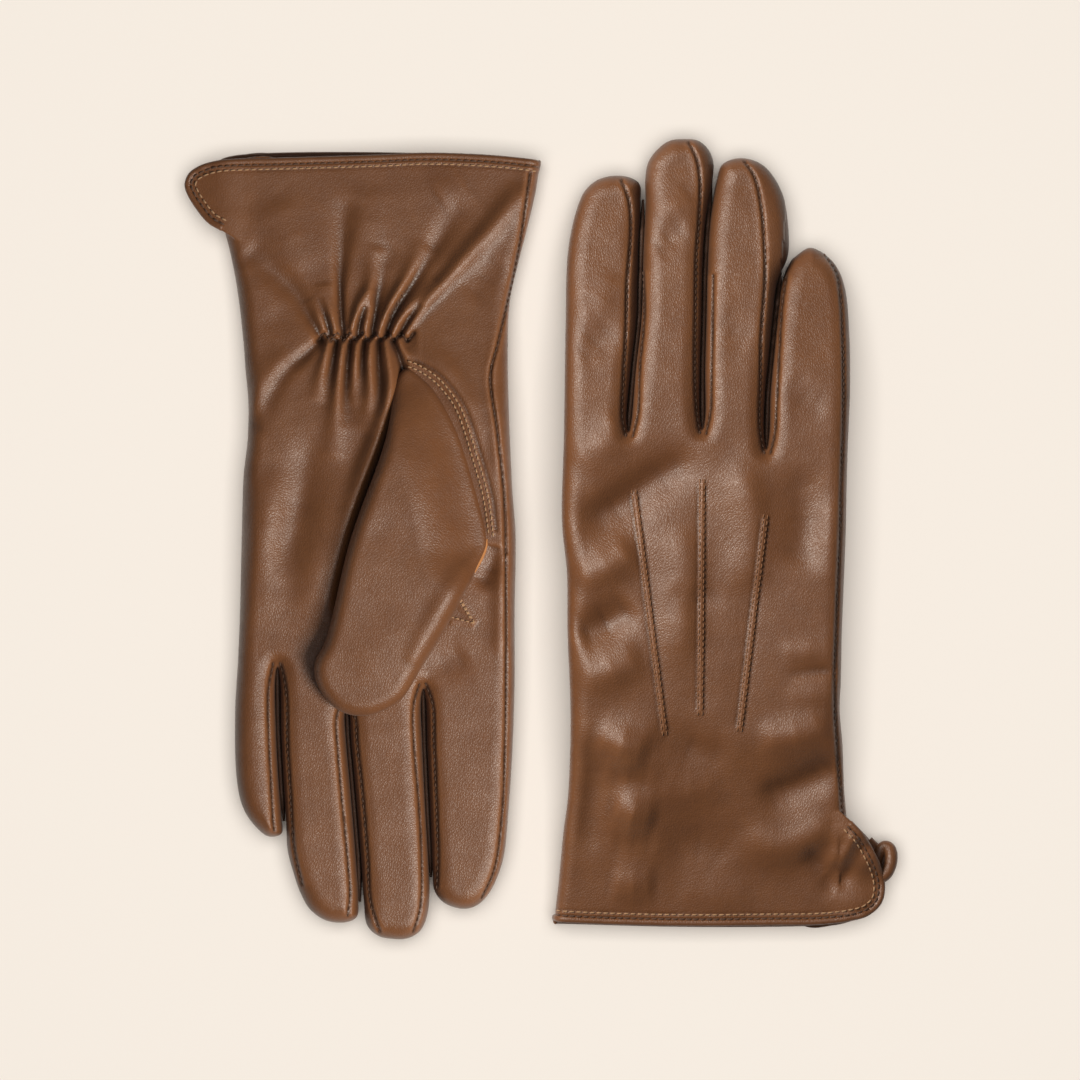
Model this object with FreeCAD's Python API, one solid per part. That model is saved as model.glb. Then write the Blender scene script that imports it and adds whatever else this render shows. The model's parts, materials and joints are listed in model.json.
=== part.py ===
import FreeCAD, Part
import math
import os

# A pair of lined leather gloves, laid side by side on a flat surface.
# The left glove lies palm up with its fingers towards -Y, the right glove back up with its fingers towards +Y.
# Each glove is built in its own frame: u runs across the hand from the index side to the little-finger side,
# v runs from the cuff's edge to the fingertips, and z is up from the surface. All sizes are in millimetres.

V = FreeCAD.Vector

# ---- materials and fits -------------------------------------------------------------------------
LEATHER = 1.0            # outer leather, hem and seam allowance included
LINING = 0.8             # knitted lining
EASE = 0.1               # clearance between layers
SETTLE = 0.2             # how far the leather flattens where it rests on the surface
THREAD_WIDTH = 0.7
THREAD_DEPTH = 0.45
SEAM_EDGE = 3.0          # how far a side seam lies in from the face of the glove
BIG = 400.0

# ---- cuff and hand ------------------------------------------------------------------------------
CORNER = 4.5             # corner radius of the hand's cross-section
FACING_LENGTH = 13.0     # leather facing turned into the cuff
VENT_LENGTH = 22.0       # slit on the little-finger side of the cuff
VENT_INSET = 6.0         # the hand's tube stops this far inside its edge along the vent
FLAP_RADIUS = 9.0        # rounded corner of each vent flap
STITCH_ROWS = (2.6, 5.4) # cuff stitching, measured from the cuff's edge
ELASTIC_BAND = dict(u0=-11.0, u1=17.0, v0=53.0, v1=58.0, thick=0.6)
SLIT_WIDTH = 1.6         # gap between two fingers
LINING_END = 138.0       # the hand's lining ends before the finger slits

# ---- fingers and thumb --------------------------------------------------------------------------
TIP_LENGTH = 11.0        # the rounded stretch at each fingertip
FINGER_CORNER = 5.0
KNUCKLE_EASE = 1.4       # clearance round a finger's root as it turns
THUMB_HOLE = dict(u=-14.0, v=98.0, r=11.0)
THUMB_SEAM_ROWS = (1.6, 3.2)
THUMB_STATIONS = (50, 60, 85, 120, 150, 185)
THUMB_LAST = 172.0       # the thumb's height stays the same beyond this v
FOURCHETTE_END = 6.5     # a fourchette stops this far short of the fingertip
GUSSET = ((-21.5, 141.0), (-31.0, 141.5), (-27.5, 127.0))

# outline of the thumb seen from above, folded across the palm
THUMB_APEX = (-8.0, 61.0)
THUMB_TIP = ((16.7, 151.0), (7.5, 170.2), (-8.2, 163.0))
THUMB_CROTCH = (-34.8, 120.0)
THUMB_SEAM_MIDDLE = (-31.0, 89.0)

FINGERS = ("index", "middle", "ring", "little")

LEFT = dict(
    name="left", palm_up=True, turned=True, origin=(-50.05, 117.9),
    # v, radial edge, little-finger edge, underside, thickness
    hand=((0, -49.0, 48.0, -SETTLE, 10.2), (22, -46.2, 46.4, -SETTLE, 10.7),
          (42, -41.6, 43.0, -SETTLE, 11.7), (60, -40.0, 40.8, -SETTLE, 13.2),
          (85, -40.0, 39.6, -SETTLE, 15.2), (123, -42.0, 41.5, -SETTLE, 15.2),
          (150, -41.8, 43.0, -SETTLE, 14.4), (178, -41.2, 43.4, -SETTLE, 14.0)),
    flap=(58.3, 51.0),
    slits=((-14.8, 160.0), (6.4, 163.0), (30.0, 156.0)),
    fingers=dict(
        index=dict(root=(-41.4, -16.0), tip=(-38.6, -18.4), reach=230.0, knuckle=170.0, high=13.6),
        middle=dict(root=(-14.2, 5.4), tip=(-16.4, 4.6), reach=239.6, knuckle=174.0, high=13.6),
        ring=dict(root=(7.2, 28.9), tip=(6.4, 26.0), reach=234.3, knuckle=174.0, high=13.6),
        little=dict(root=(30.9, 43.2), tip=(28.9, 41.6), reach=207.9, knuckle=166.0, high=13.6)),
    thumb_low=((55, 12.9), (60, 13.3), (85, 15.3), (180, 15.3)),
    thumb_high=((55, 16.5), (62, 18.0), (90, 25.0), (120, 27.0), (150, 26.6), (180, 24.0)),
    points=((-21.5, 133.9, -12.4, 58.5), (-0.9, 137.0, -2.1, 64.8), (18.8, 125.7, 10.3, 61.2)),
)

RIGHT = dict(
    name="right", palm_up=False, turned=False, origin=(50.05, -117.9),
    hand=((0, -45.1, 44.0, 0, 10), (22, -43.9, 43.6, 2.6, 10.5), (42, -42.2, 42.4, 6.4, 11.5),
          (60, -41.2, 40.6, 9.5, 13), (85, -41.0, 41.0, 9.5, 14), (150, -43.0, 43.2, 9.5, 13.8),
          (178, -42.4, 43.4, 9.2, 13.8)),
    flap=(54.8, 58.3),
    slits=((-22.4, 151.0), (-0.6, 152.5), (19.6, 145.0)),
    fingers=dict(
        index=dict(root=(-43.0, -22.4), tip=(-39.6, -19.6), reach=229.0, knuckle=170.0, high=13.6),
        middle=dict(root=(-20.4, -0.4), tip=(-18.2, 2.4), reach=240.3, knuckle=174.0, high=13.6),
        ring=dict(root=(1.4, 20.4), tip=(4.0, 25.0), reach=234.5, knuckle=174.0, high=13.6),
        little=dict(root=(22.6, 43.2), tip=(26.8, 42.2), reach=207.2, knuckle=166.0, high=13.6)),
    thumb_low=((55, 0), (172, 0)),
    thumb_high=((55, 9.1), (150, 9.1), (172, 7.0)),
    points=((-21.5, 133.9, -12.4, 58.5), (-0.9, 137.0, -2.1, 64.8), (18.8, 125.7, 10.3, 61.2)),
)


# ---- small shape helpers ------------------------------------------------------------------------
def box(u0, u1, v0, v1, z0, z1):
    return Part.makeBox(u1 - u0, v1 - v0, z1 - z0, V(u0, v0, z0))


def rounded_section(v, u0, u1, z0, z1, r):
    """A rounded rectangle standing in the plane of one v."""
    r = min(r, 0.46 * (u1 - u0), 0.46 * (z1 - z0))
    s = r * (1 - math.sqrt(0.5))
    corners = [
        (V(u1 - r, v, z0), V(u1 - s, v, z0 + s), V(u1, v, z0 + r)),
        (V(u1, v, z1 - r), V(u1 - s, v, z1 - s), V(u1 - r, v, z1)),
        (V(u0 + r, v, z1), V(u0 + s, v, z1 - s), V(u0, v, z1 - r)),
        (V(u0, v, z0 + r), V(u0 + s, v, z0 + s), V(u0 + r, v, z0)),
    ]
    edges = []
    for i, (a, b, c) in enumerate(corners):
        before = corners[i - 1][2]
        edges += [Part.LineSegment(before, a).toShape(), Part.Arc(a, b, c).toShape()]
    return Part.Wire(edges)


def polygon_section(v, outline):
    """A polygon of (u, z) points standing in the plane of one v."""
    return Part.makePolygon([V(u, v, z) for u, z in list(outline) + [outline[0]]])


def loft(wires):
    return Part.makeLoft(wires, True, True)


def plan_prism(wire):
    """A plan outline, drawn at z = 0, carried through every height."""
    face = wire if isinstance(wire, Part.Face) else Part.Face(wire)
    tall = face.copy()
    tall.translate(V(0, 0, -50))
    return tall.extrude(V(0, 0, 150))


def profile_prism(outline):
    """A side profile of (v, z) points carried across the whole glove."""
    wire = Part.makePolygon([V(-BIG / 2, v, z) for v, z in list(outline) + [outline[0]]])
    return Part.Face(wire).extrude(V(BIG, 0, 0))


def stroke(u0, v0, u1, v1, width):
    """A straight strip seen from above."""
    along = V(u1 - u0, v1 - v0, 0).normalize()
    side = V(-along.y, along.x, 0) * (width / 2)
    a, b = V(u0, v0, 0), V(u1, v1, 0)
    return plan_prism(Part.makePolygon([a + side, b + side, b - side, a - side, a + side]))


def between(table, v):
    """Straight interpolation in a table whose rows start with v."""
    rows = sorted(table)
    for low, high in zip(rows, rows[1:]):
        if v <= high[0] or high is rows[-1]:
            t = (v - low[0]) / (high[0] - low[0])
            return [a + (b - a) * t for a, b in zip(low[1:], high[1:])]


def largest_solids(shape, least=0.5):
    """Only the solids worth keeping, without boolean crumbs."""
    return [s for s in shape.Solids if s.Volume > least]


# ---- the hand's tube ----------------------------------------------------------------------------
def hand_stations(glove, v0, v1):
    inside = [row[0] for row in glove["hand"] if v0 < row[0] < v1]
    return [v0] + inside + [v1]


def hand_solid(glove, inset, v0, v1):
    """The hand's outer form, drawn in on every side by inset, between two places along v."""
    wires = []
    for v in hand_stations(glove, v0, v1):
        u0, u1, low, thick = between(glove["hand"], v)
        wires.append(rounded_section(
            v, u0 + inset, u1 - inset, low + inset, low + thick - inset, CORNER - inset))
    return loft(wires)


def hand_layer(glove, outside, thick, v0, v1):
    """One layer of the hand: open at both ends."""
    outer = hand_solid(glove, outside, v0, v1)
    return outer.cut(hand_solid(glove, outside + thick, v0 - 0.01, v1 + 0.01))


def hand_divider(glove):
    """Everything above the side seams. The back wraps the index side, and the palm the little-finger side."""
    wires = []
    for v in hand_stations(glove, -20.0, 260.0):
        u0, u1, low, thick = between(glove["hand"], v)
        near_floor, near_top = low + SEAM_EDGE, low + thick - SEAM_EDGE
        radial, ulnar = (near_top, near_floor) if glove["palm_up"] else (near_floor, near_top)
        wires.append(polygon_section(
            v, [(-90, radial), (0, radial), (0, ulnar), (90, ulnar), (90, 60), (-90, 60)]))
    return loft(wires)


def surface_band(glove, depth, on_top):
    """A thin band just inside the glove's upper or lower face."""
    wires = []
    for v in hand_stations(glove, -5.0, 178.0):
        u0, u1, low, thick = between(glove["hand"], v)
        z0, z1 = (low + thick - depth, low + thick) if on_top else (low, low + depth)
        wires.append(polygon_section(v, [(-90, z0), (90, z0), (90, z1), (-90, z1)]))
    return loft(wires)


def flap(glove, on_top):
    """The part of a panel that stands out beside the vent, with its rounded corner."""
    edge = glove["flap"][0 if on_top else 1]
    start = between(glove["hand"], VENT_LENGTH)[1] - VENT_INSET
    r = FLAP_RADIUS
    s = r * (1 - math.sqrt(0.5))
    notch = start + VENT_INSET
    wire = Part.Wire([
        Part.LineSegment(V(start, 0, 0), V(edge - r, 0, 0)).toShape(),
        Part.Arc(V(edge - r, 0, 0), V(edge - s, s, 0), V(edge, r, 0)).toShape(),
        Part.LineSegment(V(edge, r, 0), V(notch, VENT_LENGTH, 0)).toShape(),
        Part.LineSegment(V(notch, VENT_LENGTH, 0), V(start, VENT_LENGTH, 0)).toShape(),
        Part.LineSegment(V(start, VENT_LENGTH, 0), V(start, 0, 0)).toShape(),
    ])
    return plan_prism(wire).common(surface_band(glove, LEATHER, on_top))


def knuckle_height(glove, finger):
    low, thick = between(glove["hand"], finger["knuckle"])[2:]
    return low + finger["high"] / 2


def finger_room(glove):
    """What the hand leaves free: each finger's place beyond its knuckle, and the turning room of its root."""
    rooms = []
    edges = [-60.0] + [u for u, v in glove["slits"]] + [60.0]
    for i, name in enumerate(FINGERS):
        f = glove["fingers"][name]
        u0, u1, v = edges[i], edges[i + 1], f["knuckle"]
        rooms.append(box(u0, u1, v - 0.5, 260, -20, 60))
        turning = Part.makeCylinder(
            f["high"] / 2 + KNUCKLE_EASE, u1 - u0, V(u0, v, knuckle_height(glove, f)), V(1, 0, 0))
        rooms.append(turning)
    return rooms


def slit_box(slit, grow=0.0):
    u, v = slit
    w = SLIT_WIDTH / 2 + grow
    return box(u - w, u + w, v - grow, 200, -20, 60)


def thumb_hole():
    return Part.makeCylinder(THUMB_HOLE["r"], 80, V(THUMB_HOLE["u"], THUMB_HOLE["v"], -20))


def vent_box(glove):
    edge = between(glove["hand"], VENT_LENGTH)[1] - VENT_INSET
    return box(edge, 90, -10, VENT_LENGTH, -20, 60)


def gusset_prism(ease=0.0):
    """The small triangle of leather at the root of the thumb."""
    wire = Part.makePolygon([V(u, v, 0) for u, v in GUSSET + GUSSET[:1]])
    face = Part.Face(wire)
    return plan_prism(face.makeOffset2D(ease) if ease else face)


# ---- the thumb ----------------------------------------------------------------------------------
def thumb_outline(inset=0.0):
    (a, b, c), d = THUMB_TIP, THUMB_CROTCH
    apex, middle = THUMB_APEX, THUMB_SEAM_MIDDLE
    wire = Part.Wire([
        Part.LineSegment(V(*apex, 0), V(*a, 0)).toShape(),
        Part.Arc(V(*a, 0), V(*b, 0), V(*c, 0)).toShape(),
        Part.LineSegment(V(*c, 0), V(*d, 0)).toShape(),
        Part.Arc(V(*d, 0), V(*middle, 0), V(*apex, 0)).toShape(),
    ])
    face = Part.Face(wire)
    return face.makeOffset2D(-inset) if inset else face


def thumb_solid(glove, inset):
    low = [(v, z + inset) for v, z in glove["thumb_low"]]
    high = [(v, z - inset) for v, z in glove["thumb_high"]]
    return plan_prism(thumb_outline(inset)).common(profile_prism(low + high[::-1]))


def thumb_nodes(glove):
    """Front and back leather and the lining. The front is the face turned away from the palm."""
    shell = thumb_solid(glove, 0).cut(thumb_solid(glove, LEATHER))
    middle = []
    for v in THUMB_STATIONS:
        low = between(glove["thumb_low"], min(v, THUMB_LAST))[0]
        high = between(glove["thumb_high"], min(v, THUMB_LAST))[0]
        middle.append((v, (low + high) / 2))
    first, last = THUMB_STATIONS[0], THUMB_STATIONS[-1]
    above = middle + [(last, 80), (first, 80)]
    below = middle + [(last, -20), (first, -20)]
    upper = profile_prism(above)
    hole = thumb_hole()
    lining = thumb_solid(glove, LEATHER + EASE).cut(thumb_solid(glove, LEATHER + EASE + LINING))
    away, towards = shell.common(upper), shell.cut(upper)
    inner_half = profile_prism(below if glove["palm_up"] else above)
    if not glove["palm_up"]:
        away, towards = towards, away
    return {
        "thumb_front": away,
        "thumb_back": towards.cut(hole),
        "thumb_lining": lining.cut(hole.common(inner_half)),
    }


# ---- the fingers --------------------------------------------------------------------------------
def finger_solid(f, inset, start):
    """A finger lying along v from its knuckle at 0, with its underside at z = 0."""
    length = f["reach"] - f["knuckle"] - inset
    cap = TIP_LENGTH - 0.5 * inset
    wires = []
    for s in (start, length - cap, length - 0.62 * cap, length - 0.3 * cap,
              length - 0.1 * cap, length - 0.015 * cap):
        k = math.sqrt(1 - max(0.0, (s - length + cap) / cap) ** 2)
        t = max(0.0, s) / (f["reach"] - f["knuckle"])
        u0 = f["root"][0] + (f["tip"][0] - f["root"][0]) * t
        u1 = f["root"][1] + (f["tip"][1] - f["root"][1]) * t
        middle, half, high = (u0 + u1) / 2, (u1 - u0) / 2 - inset, f["high"] / 2 - inset
        wires.append(rounded_section(
            s, middle - half * k, middle + half * k, f["high"] / 2 - high * k, f["high"] / 2 + high * k,
            (FINGER_CORNER - inset) * k))
    return loft(wires)


def finger_nodes(glove, name):
    """Back and palm leather, the side strips (fourchettes) and the lining of one finger."""
    f = glove["fingers"][name]
    high, length = f["high"], f["reach"] - f["knuckle"]
    shell = finger_solid(f, 0, 0).cut(finger_solid(f, LEATHER, -1))
    lining = finger_solid(f, LEATHER + EASE, 0.5).cut(finger_solid(f, LEATHER + EASE + LINING, -1))
    centre = (sum(f["root"]) + sum(f["tip"])) / 4
    strips = []
    split = {"radial": high / 2, "ulnar": high / 2}
    for side, (u0, u1) in {"radial": (-90, centre), "ulnar": (centre, 90)}.items():
        outer_edge = (side == "radial" and name == "index") or (side == "ulnar" and name == "little")
        if outer_edge:
            # the back wraps the index side and the palm wraps the little-finger side
            upper_wraps = glove["palm_up"] == (side == "ulnar")
            split[side] = SEAM_EDGE if upper_wraps else high - SEAM_EDGE
        else:
            strips.append(box(u0, u1, -5, length - FOURCHETTE_END, SEAM_EDGE, high - SEAM_EDGE))
    upper = box(-90, centre, -5, 90, split["radial"], 60).fuse(box(centre, 90, -5, 90, split["ulnar"], 60))
    sides = [shell.common(s) for s in strips]
    rest = shell.cut(Part.makeCompound(strips))
    top, bottom = rest.common(upper), rest.cut(upper)
    palm, back = (top, bottom) if glove["palm_up"] else (bottom, top)
    nodes = {
        name + "_palm": palm,
        name + "_back": back,
        name + "_fourchette" + ("s" if len(sides) > 1 else ""): Part.makeCompound(sides),
        name + "_lining": lining,
    }
    for key, shape in nodes.items():
        nodes[key] = lay_finger(glove, f, shape)
    return nodes


def lay_finger(glove, f, shape):
    """Sets a finger on its knuckle, tipped down so that its end rests on the surface."""
    centre = knuckle_height(glove, f)
    drop = centre - f["high"] / 2
    tip = math.degrees(math.asin(drop / (f["reach"] - f["knuckle"] - TIP_LENGTH / 2)))
    laid = shape.copy()
    laid.translate(V(0, f["knuckle"], drop))
    laid.rotate(V(0, f["knuckle"], centre), V(1, 0, 0), -tip)
    return laid


# ---- the hand's own pieces ----------------------------------------------------------------------
def point_strips(glove):
    return Part.makeCompound([stroke(*line, THREAD_WIDTH) for line in glove["points"]])


def thumb_seam_strips():
    """Two rows of stitches that follow the thumb's seam, just outside it."""
    rows = []
    for offset in THUMB_SEAM_ROWS:
        outer = thumb_outline().makeOffset2D(offset + THREAD_WIDTH)
        inner = thumb_outline().makeOffset2D(offset)
        rows.append(plan_prism(outer.cut(inner).Faces[0]))
    beside_seam = plan_prism(Part.makePolygon([
        V(-10, 40, 0), V(-60, 40, 0), V(-60, 118, 0), V(-30, 118, 0), V(-10, 66, 0), V(-10, 40, 0)]))
    return Part.makeCompound(rows).common(beside_seam)


def hand_nodes(glove):
    palm_on_top = glove["palm_up"]
    low_end, high_end = 0.0, 177.0
    leather = hand_layer(glove, 0, LEATHER, low_end, high_end)
    rooms = finger_room(glove)
    slits = [slit_box(s) for s in glove["slits"]]
    leather = leather.cut(Part.makeCompound(rooms[0::2])).cut(Part.makeCompound(rooms[1::2]))
    leather = leather.cut(Part.makeCompound(slits)).cut(vent_box(glove))
    divider = hand_divider(glove)
    top = leather.common(divider).fuse(flap(glove, True))
    bottom = leather.cut(divider).fuse(flap(glove, False))
    palm, back = (top, bottom) if palm_on_top else (bottom, top)

    # stitching lies flush in the leather
    cuff_thread = Part.makeCompound([
        hand_layer(glove, 0, THREAD_DEPTH, row, row + THREAD_WIDTH) for row in STITCH_ROWS
    ]).cut(vent_box(glove))
    back_face = surface_band(glove, THREAD_DEPTH, not palm_on_top)
    palm_face = surface_band(glove, THREAD_DEPTH, palm_on_top)
    points = point_strips(glove).common(back_face)
    seam = thumb_seam_strips().common(palm_face).common(palm)
    back = back.cut(points).cut(cuff_thread)
    palm = palm.cut(seam).cut(cuff_thread).cut(thumb_hole())

    # the gusset is let into the palm
    gusset = gusset_prism().common(palm)
    palm = palm.cut(gusset_prism(EASE / 2))

    facing = hand_layer(glove, LEATHER + EASE, LINING, 0.4, FACING_LENGTH).cut(vent_box(glove))
    lining = hand_layer(glove, LEATHER + EASE, LINING, FACING_LENGTH + 0.2, LINING_END)
    e = ELASTIC_BAND
    deep = surface_band(glove, LEATHER + EASE + e["thick"], palm_on_top)
    shallow = surface_band(glove, LEATHER + EASE, palm_on_top)
    elastic = box(e["u0"], e["u1"], e["v0"], e["v1"], -20, 60).common(deep).cut(shallow)
    lining = lining.cut(elastic).cut(vent_box(glove))
    lining = lining.cut(thumb_hole().common(box(-60, 60, 0, 200, *palm_side(glove))))

    crotches = []
    for slit in glove["slits"]:
        wall = slit_box(slit, LEATHER).cut(slit_box(slit))
        wall = wall.common(hand_solid(glove, LEATHER + 0.05, 120.0, high_end))
        crotches.append(wall.cut(Part.makeCompound(rooms[0::2])).cut(Part.makeCompound(rooms[1::2])))
    return {
        "palm_panel": palm,
        "back_panel": back,
        "cuff_facing": facing,
        "hand_lining": lining,
        "wrist_elastic": elastic,
        "thumb_gusset": gusset,
        "fourchette_crotches": Part.makeCompound(crotches),
        "cuff_stitching": cuff_thread,
        "point_stitching": points,
        "thumb_seam_stitching": seam,
    }


def palm_side(glove):
    """The heights that hold only the palm side of the hand at the thumb's hole."""
    low, thick = between(glove["hand"], THUMB_HOLE["v"])[2:]
    middle = low + thick / 2
    return (middle, 60) if glove["palm_up"] else (-20, middle)


# ---- the pair -----------------------------------------------------------------------------------
def lay_glove(glove, shape):
    """From the glove's own frame to the pair's frame."""
    laid = shape.copy()
    if glove["turned"]:
        laid.rotate(V(0, 0, 0), V(0, 0, 1), 180)
    laid.translate(V(*glove["origin"], 0))
    return laid


def settled(shape):
    """Flat where the glove rests on the surface at z = 0."""
    if shape.BoundBox.ZMin > -0.01:
        return shape
    return shape.cut(box(-BIG, BIG, -BIG, BIG, -10, 0))


def glove_nodes(glove):
    nodes = hand_nodes(glove)
    nodes.update(thumb_nodes(glove))
    for name in FINGERS:
        nodes.update(finger_nodes(glove, name))
    nodes = {key: settled(shape) for key, shape in nodes.items()}
    return {glove["name"] + "_" + key: lay_glove(glove, shape) for key, shape in nodes.items()}


def main():
    os.makedirs("parts", exist_ok=True)
    bounds = FreeCAD.BoundBox()
    for glove in (LEFT, RIGHT):
        for name, shape in sorted(glove_nodes(glove).items()):
            solids = largest_solids(shape)
            node = Part.makeCompound(solids) if len(solids) > 1 else solids[0]
            node.exportStep("parts/" + name + ".step")
            bounds.add(node.BoundBox)
            print(f"{name:32s} solids {len(solids)}  volume {node.Volume:9.1f}  valid {node.isValid()}")
    print("bounds", bounds)


main()
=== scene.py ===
import bpy
import json
import math
import numpy as np
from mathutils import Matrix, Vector
from mathutils.kdtree import KDTree


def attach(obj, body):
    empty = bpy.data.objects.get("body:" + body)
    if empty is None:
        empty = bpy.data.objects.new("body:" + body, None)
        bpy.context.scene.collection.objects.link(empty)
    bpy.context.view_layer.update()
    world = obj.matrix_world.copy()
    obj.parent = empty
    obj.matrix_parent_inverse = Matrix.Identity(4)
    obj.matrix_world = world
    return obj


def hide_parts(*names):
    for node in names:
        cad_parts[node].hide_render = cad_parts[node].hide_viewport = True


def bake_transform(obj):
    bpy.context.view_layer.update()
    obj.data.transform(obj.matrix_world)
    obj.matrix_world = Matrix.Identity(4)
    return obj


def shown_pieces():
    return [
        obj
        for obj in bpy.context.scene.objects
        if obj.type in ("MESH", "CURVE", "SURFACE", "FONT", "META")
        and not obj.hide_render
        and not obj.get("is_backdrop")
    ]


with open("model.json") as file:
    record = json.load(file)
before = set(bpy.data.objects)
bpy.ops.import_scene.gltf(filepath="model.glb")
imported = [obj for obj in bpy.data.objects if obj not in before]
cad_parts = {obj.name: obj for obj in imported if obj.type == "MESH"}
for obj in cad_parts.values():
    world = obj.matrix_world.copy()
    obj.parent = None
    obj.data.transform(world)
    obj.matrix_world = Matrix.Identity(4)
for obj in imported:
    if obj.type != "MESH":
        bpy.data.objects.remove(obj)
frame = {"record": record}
bpy.context.scene.view_settings.view_transform = "Standard"
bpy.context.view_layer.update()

# Lengths are millimetres in each glove's own frame: u runs across the hand from the index side to the
# little-finger side, v from the cuff's edge to the fingertips, z up from the surface it lies on.
MM = 0.001
STEP = 0.5                # spacing of the modelling grid
LEATHER = 1.3             # visible thickness of a cut or folded edge
TAN, DARK = "thread_tan", "thread_dark"


# ---- curves -------------------------------------------------------------------------------------
def smooth_curve(points, step=0.4, closed=False):
    """A smooth curve through the points, sampled evenly."""
    p = np.array(points, float)
    n = len(p)
    if n == 2 and not closed:
        count = max(2, int(np.linalg.norm(p[1] - p[0]) / step))
        t = np.linspace(0, 1, count + 1)[:, None]
        return p[0] + (p[1] - p[0]) * t
    if closed:
        p = np.vstack([p[-1], p, p[0], p[1]])
    else:
        p = np.vstack([2 * p[0] - p[1], p, 2 * p[-1] - p[-2]])
    d = np.sqrt(np.maximum(np.linalg.norm(np.diff(p, axis=0), axis=1), 1e-6))
    out = []
    for i in range(1, len(p) - 2):
        d0, d1, d2 = d[i - 1], d[i], d[i + 1]
        m1 = (p[i] - p[i - 1]) / d0 - (p[i + 1] - p[i - 1]) / (d0 + d1) + (p[i + 1] - p[i]) / d1
        m2 = (p[i + 1] - p[i]) / d1 - (p[i + 2] - p[i]) / (d1 + d2) + (p[i + 2] - p[i + 1]) / d2
        count = max(1, int(round(np.linalg.norm(p[i + 1] - p[i]) / step)))
        t = (np.arange(count) / count)[:, None]
        a, b = p[i], p[i + 1]
        out.append((2 * t**3 - 3 * t**2 + 1) * a + (t**3 - 2 * t**2 + t) * m1 * d1
                   + (-2 * t**3 + 3 * t**2) * b + (t**3 - t**2) * m2 * d1)
    if not closed:
        out.append(p[-2][None])
    return np.vstack(out)


def even(curve, spacing):
    """Points along a curve at an even spacing, with the direction at each."""
    seg = np.linalg.norm(np.diff(curve, axis=0), axis=1)
    s = np.concatenate([[0], np.cumsum(seg)])
    count = max(2, int(s[-1] / spacing) + 1)
    at = (np.arange(count) + 0.5) * s[-1] / count
    pts = np.stack([np.interp(at, s, curve[:, k]) for k in range(curve.shape[1])], 1)
    ahead = np.stack([np.interp(at + 0.3, s, curve[:, k]) for k in range(curve.shape[1])], 1)
    behind = np.stack([np.interp(at - 0.3, s, curve[:, k]) for k in range(curve.shape[1])], 1)
    way = ahead - behind
    way /= np.maximum(np.linalg.norm(way, axis=1, keepdims=True), 1e-9)
    return pts, way


def to_curve(x, y, curve):
    """For each point: distance to the curve, side (positive on its left) and place along it from 0 to 1."""
    best = np.full(x.shape, 1e9)
    side = np.zeros(x.shape)
    along = np.zeros(x.shape)
    seg = np.diff(curve, axis=0)
    length = np.linalg.norm(seg, axis=1)
    start = np.concatenate([[0], np.cumsum(length)])
    for (ax, ay), (dx, dy), ln, s in zip(curve[:-1], seg, length, start):
        if ln < 1e-9:
            continue
        t = np.clip(((x - ax) * dx + (y - ay) * dy) / ln**2, 0, 1)
        ex, ey = x - ax - t * dx, y - ay - t * dy
        dist = np.hypot(ex, ey)
        near = dist < best
        best = np.where(near, dist, best)
        side = np.where(near, np.sign(dx * ey - dy * ex), side)
        along = np.where(near, (s + t * ln) / start[-1], along)
    return best, side, along


def smoothstep(t):
    """From 0 to 1 with soft ends."""
    t = np.clip(t, 0, 1)
    return t * t * (3 - 2 * t)


def ramp(v, table):
    """A smooth curve of height against v, without overshoot."""
    xs, ys = (np.array(c, float) for c in zip(*table))
    slope = np.diff(ys) / np.diff(xs)
    m = np.zeros(len(xs))
    same = slope[:-1] * slope[1:] > 0
    m[1:-1][same] = 2 * slope[:-1][same] * slope[1:][same] / (slope[:-1] + slope[1:])[same]
    v = np.clip(v, xs[0], xs[-1])
    i = np.clip(np.searchsorted(xs, v, side="right") - 1, 0, len(xs) - 2)
    h = (xs[1:] - xs[:-1])[i]
    t = (v - xs[i]) / h
    return ((2 * t**3 - 3 * t**2 + 1) * ys[i] + (t**3 - 2 * t**2 + t) * h * m[i]
            + (3 * t**2 - 2 * t**3) * ys[i + 1] + (t**3 - t**2) * h * m[i + 1])


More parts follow.
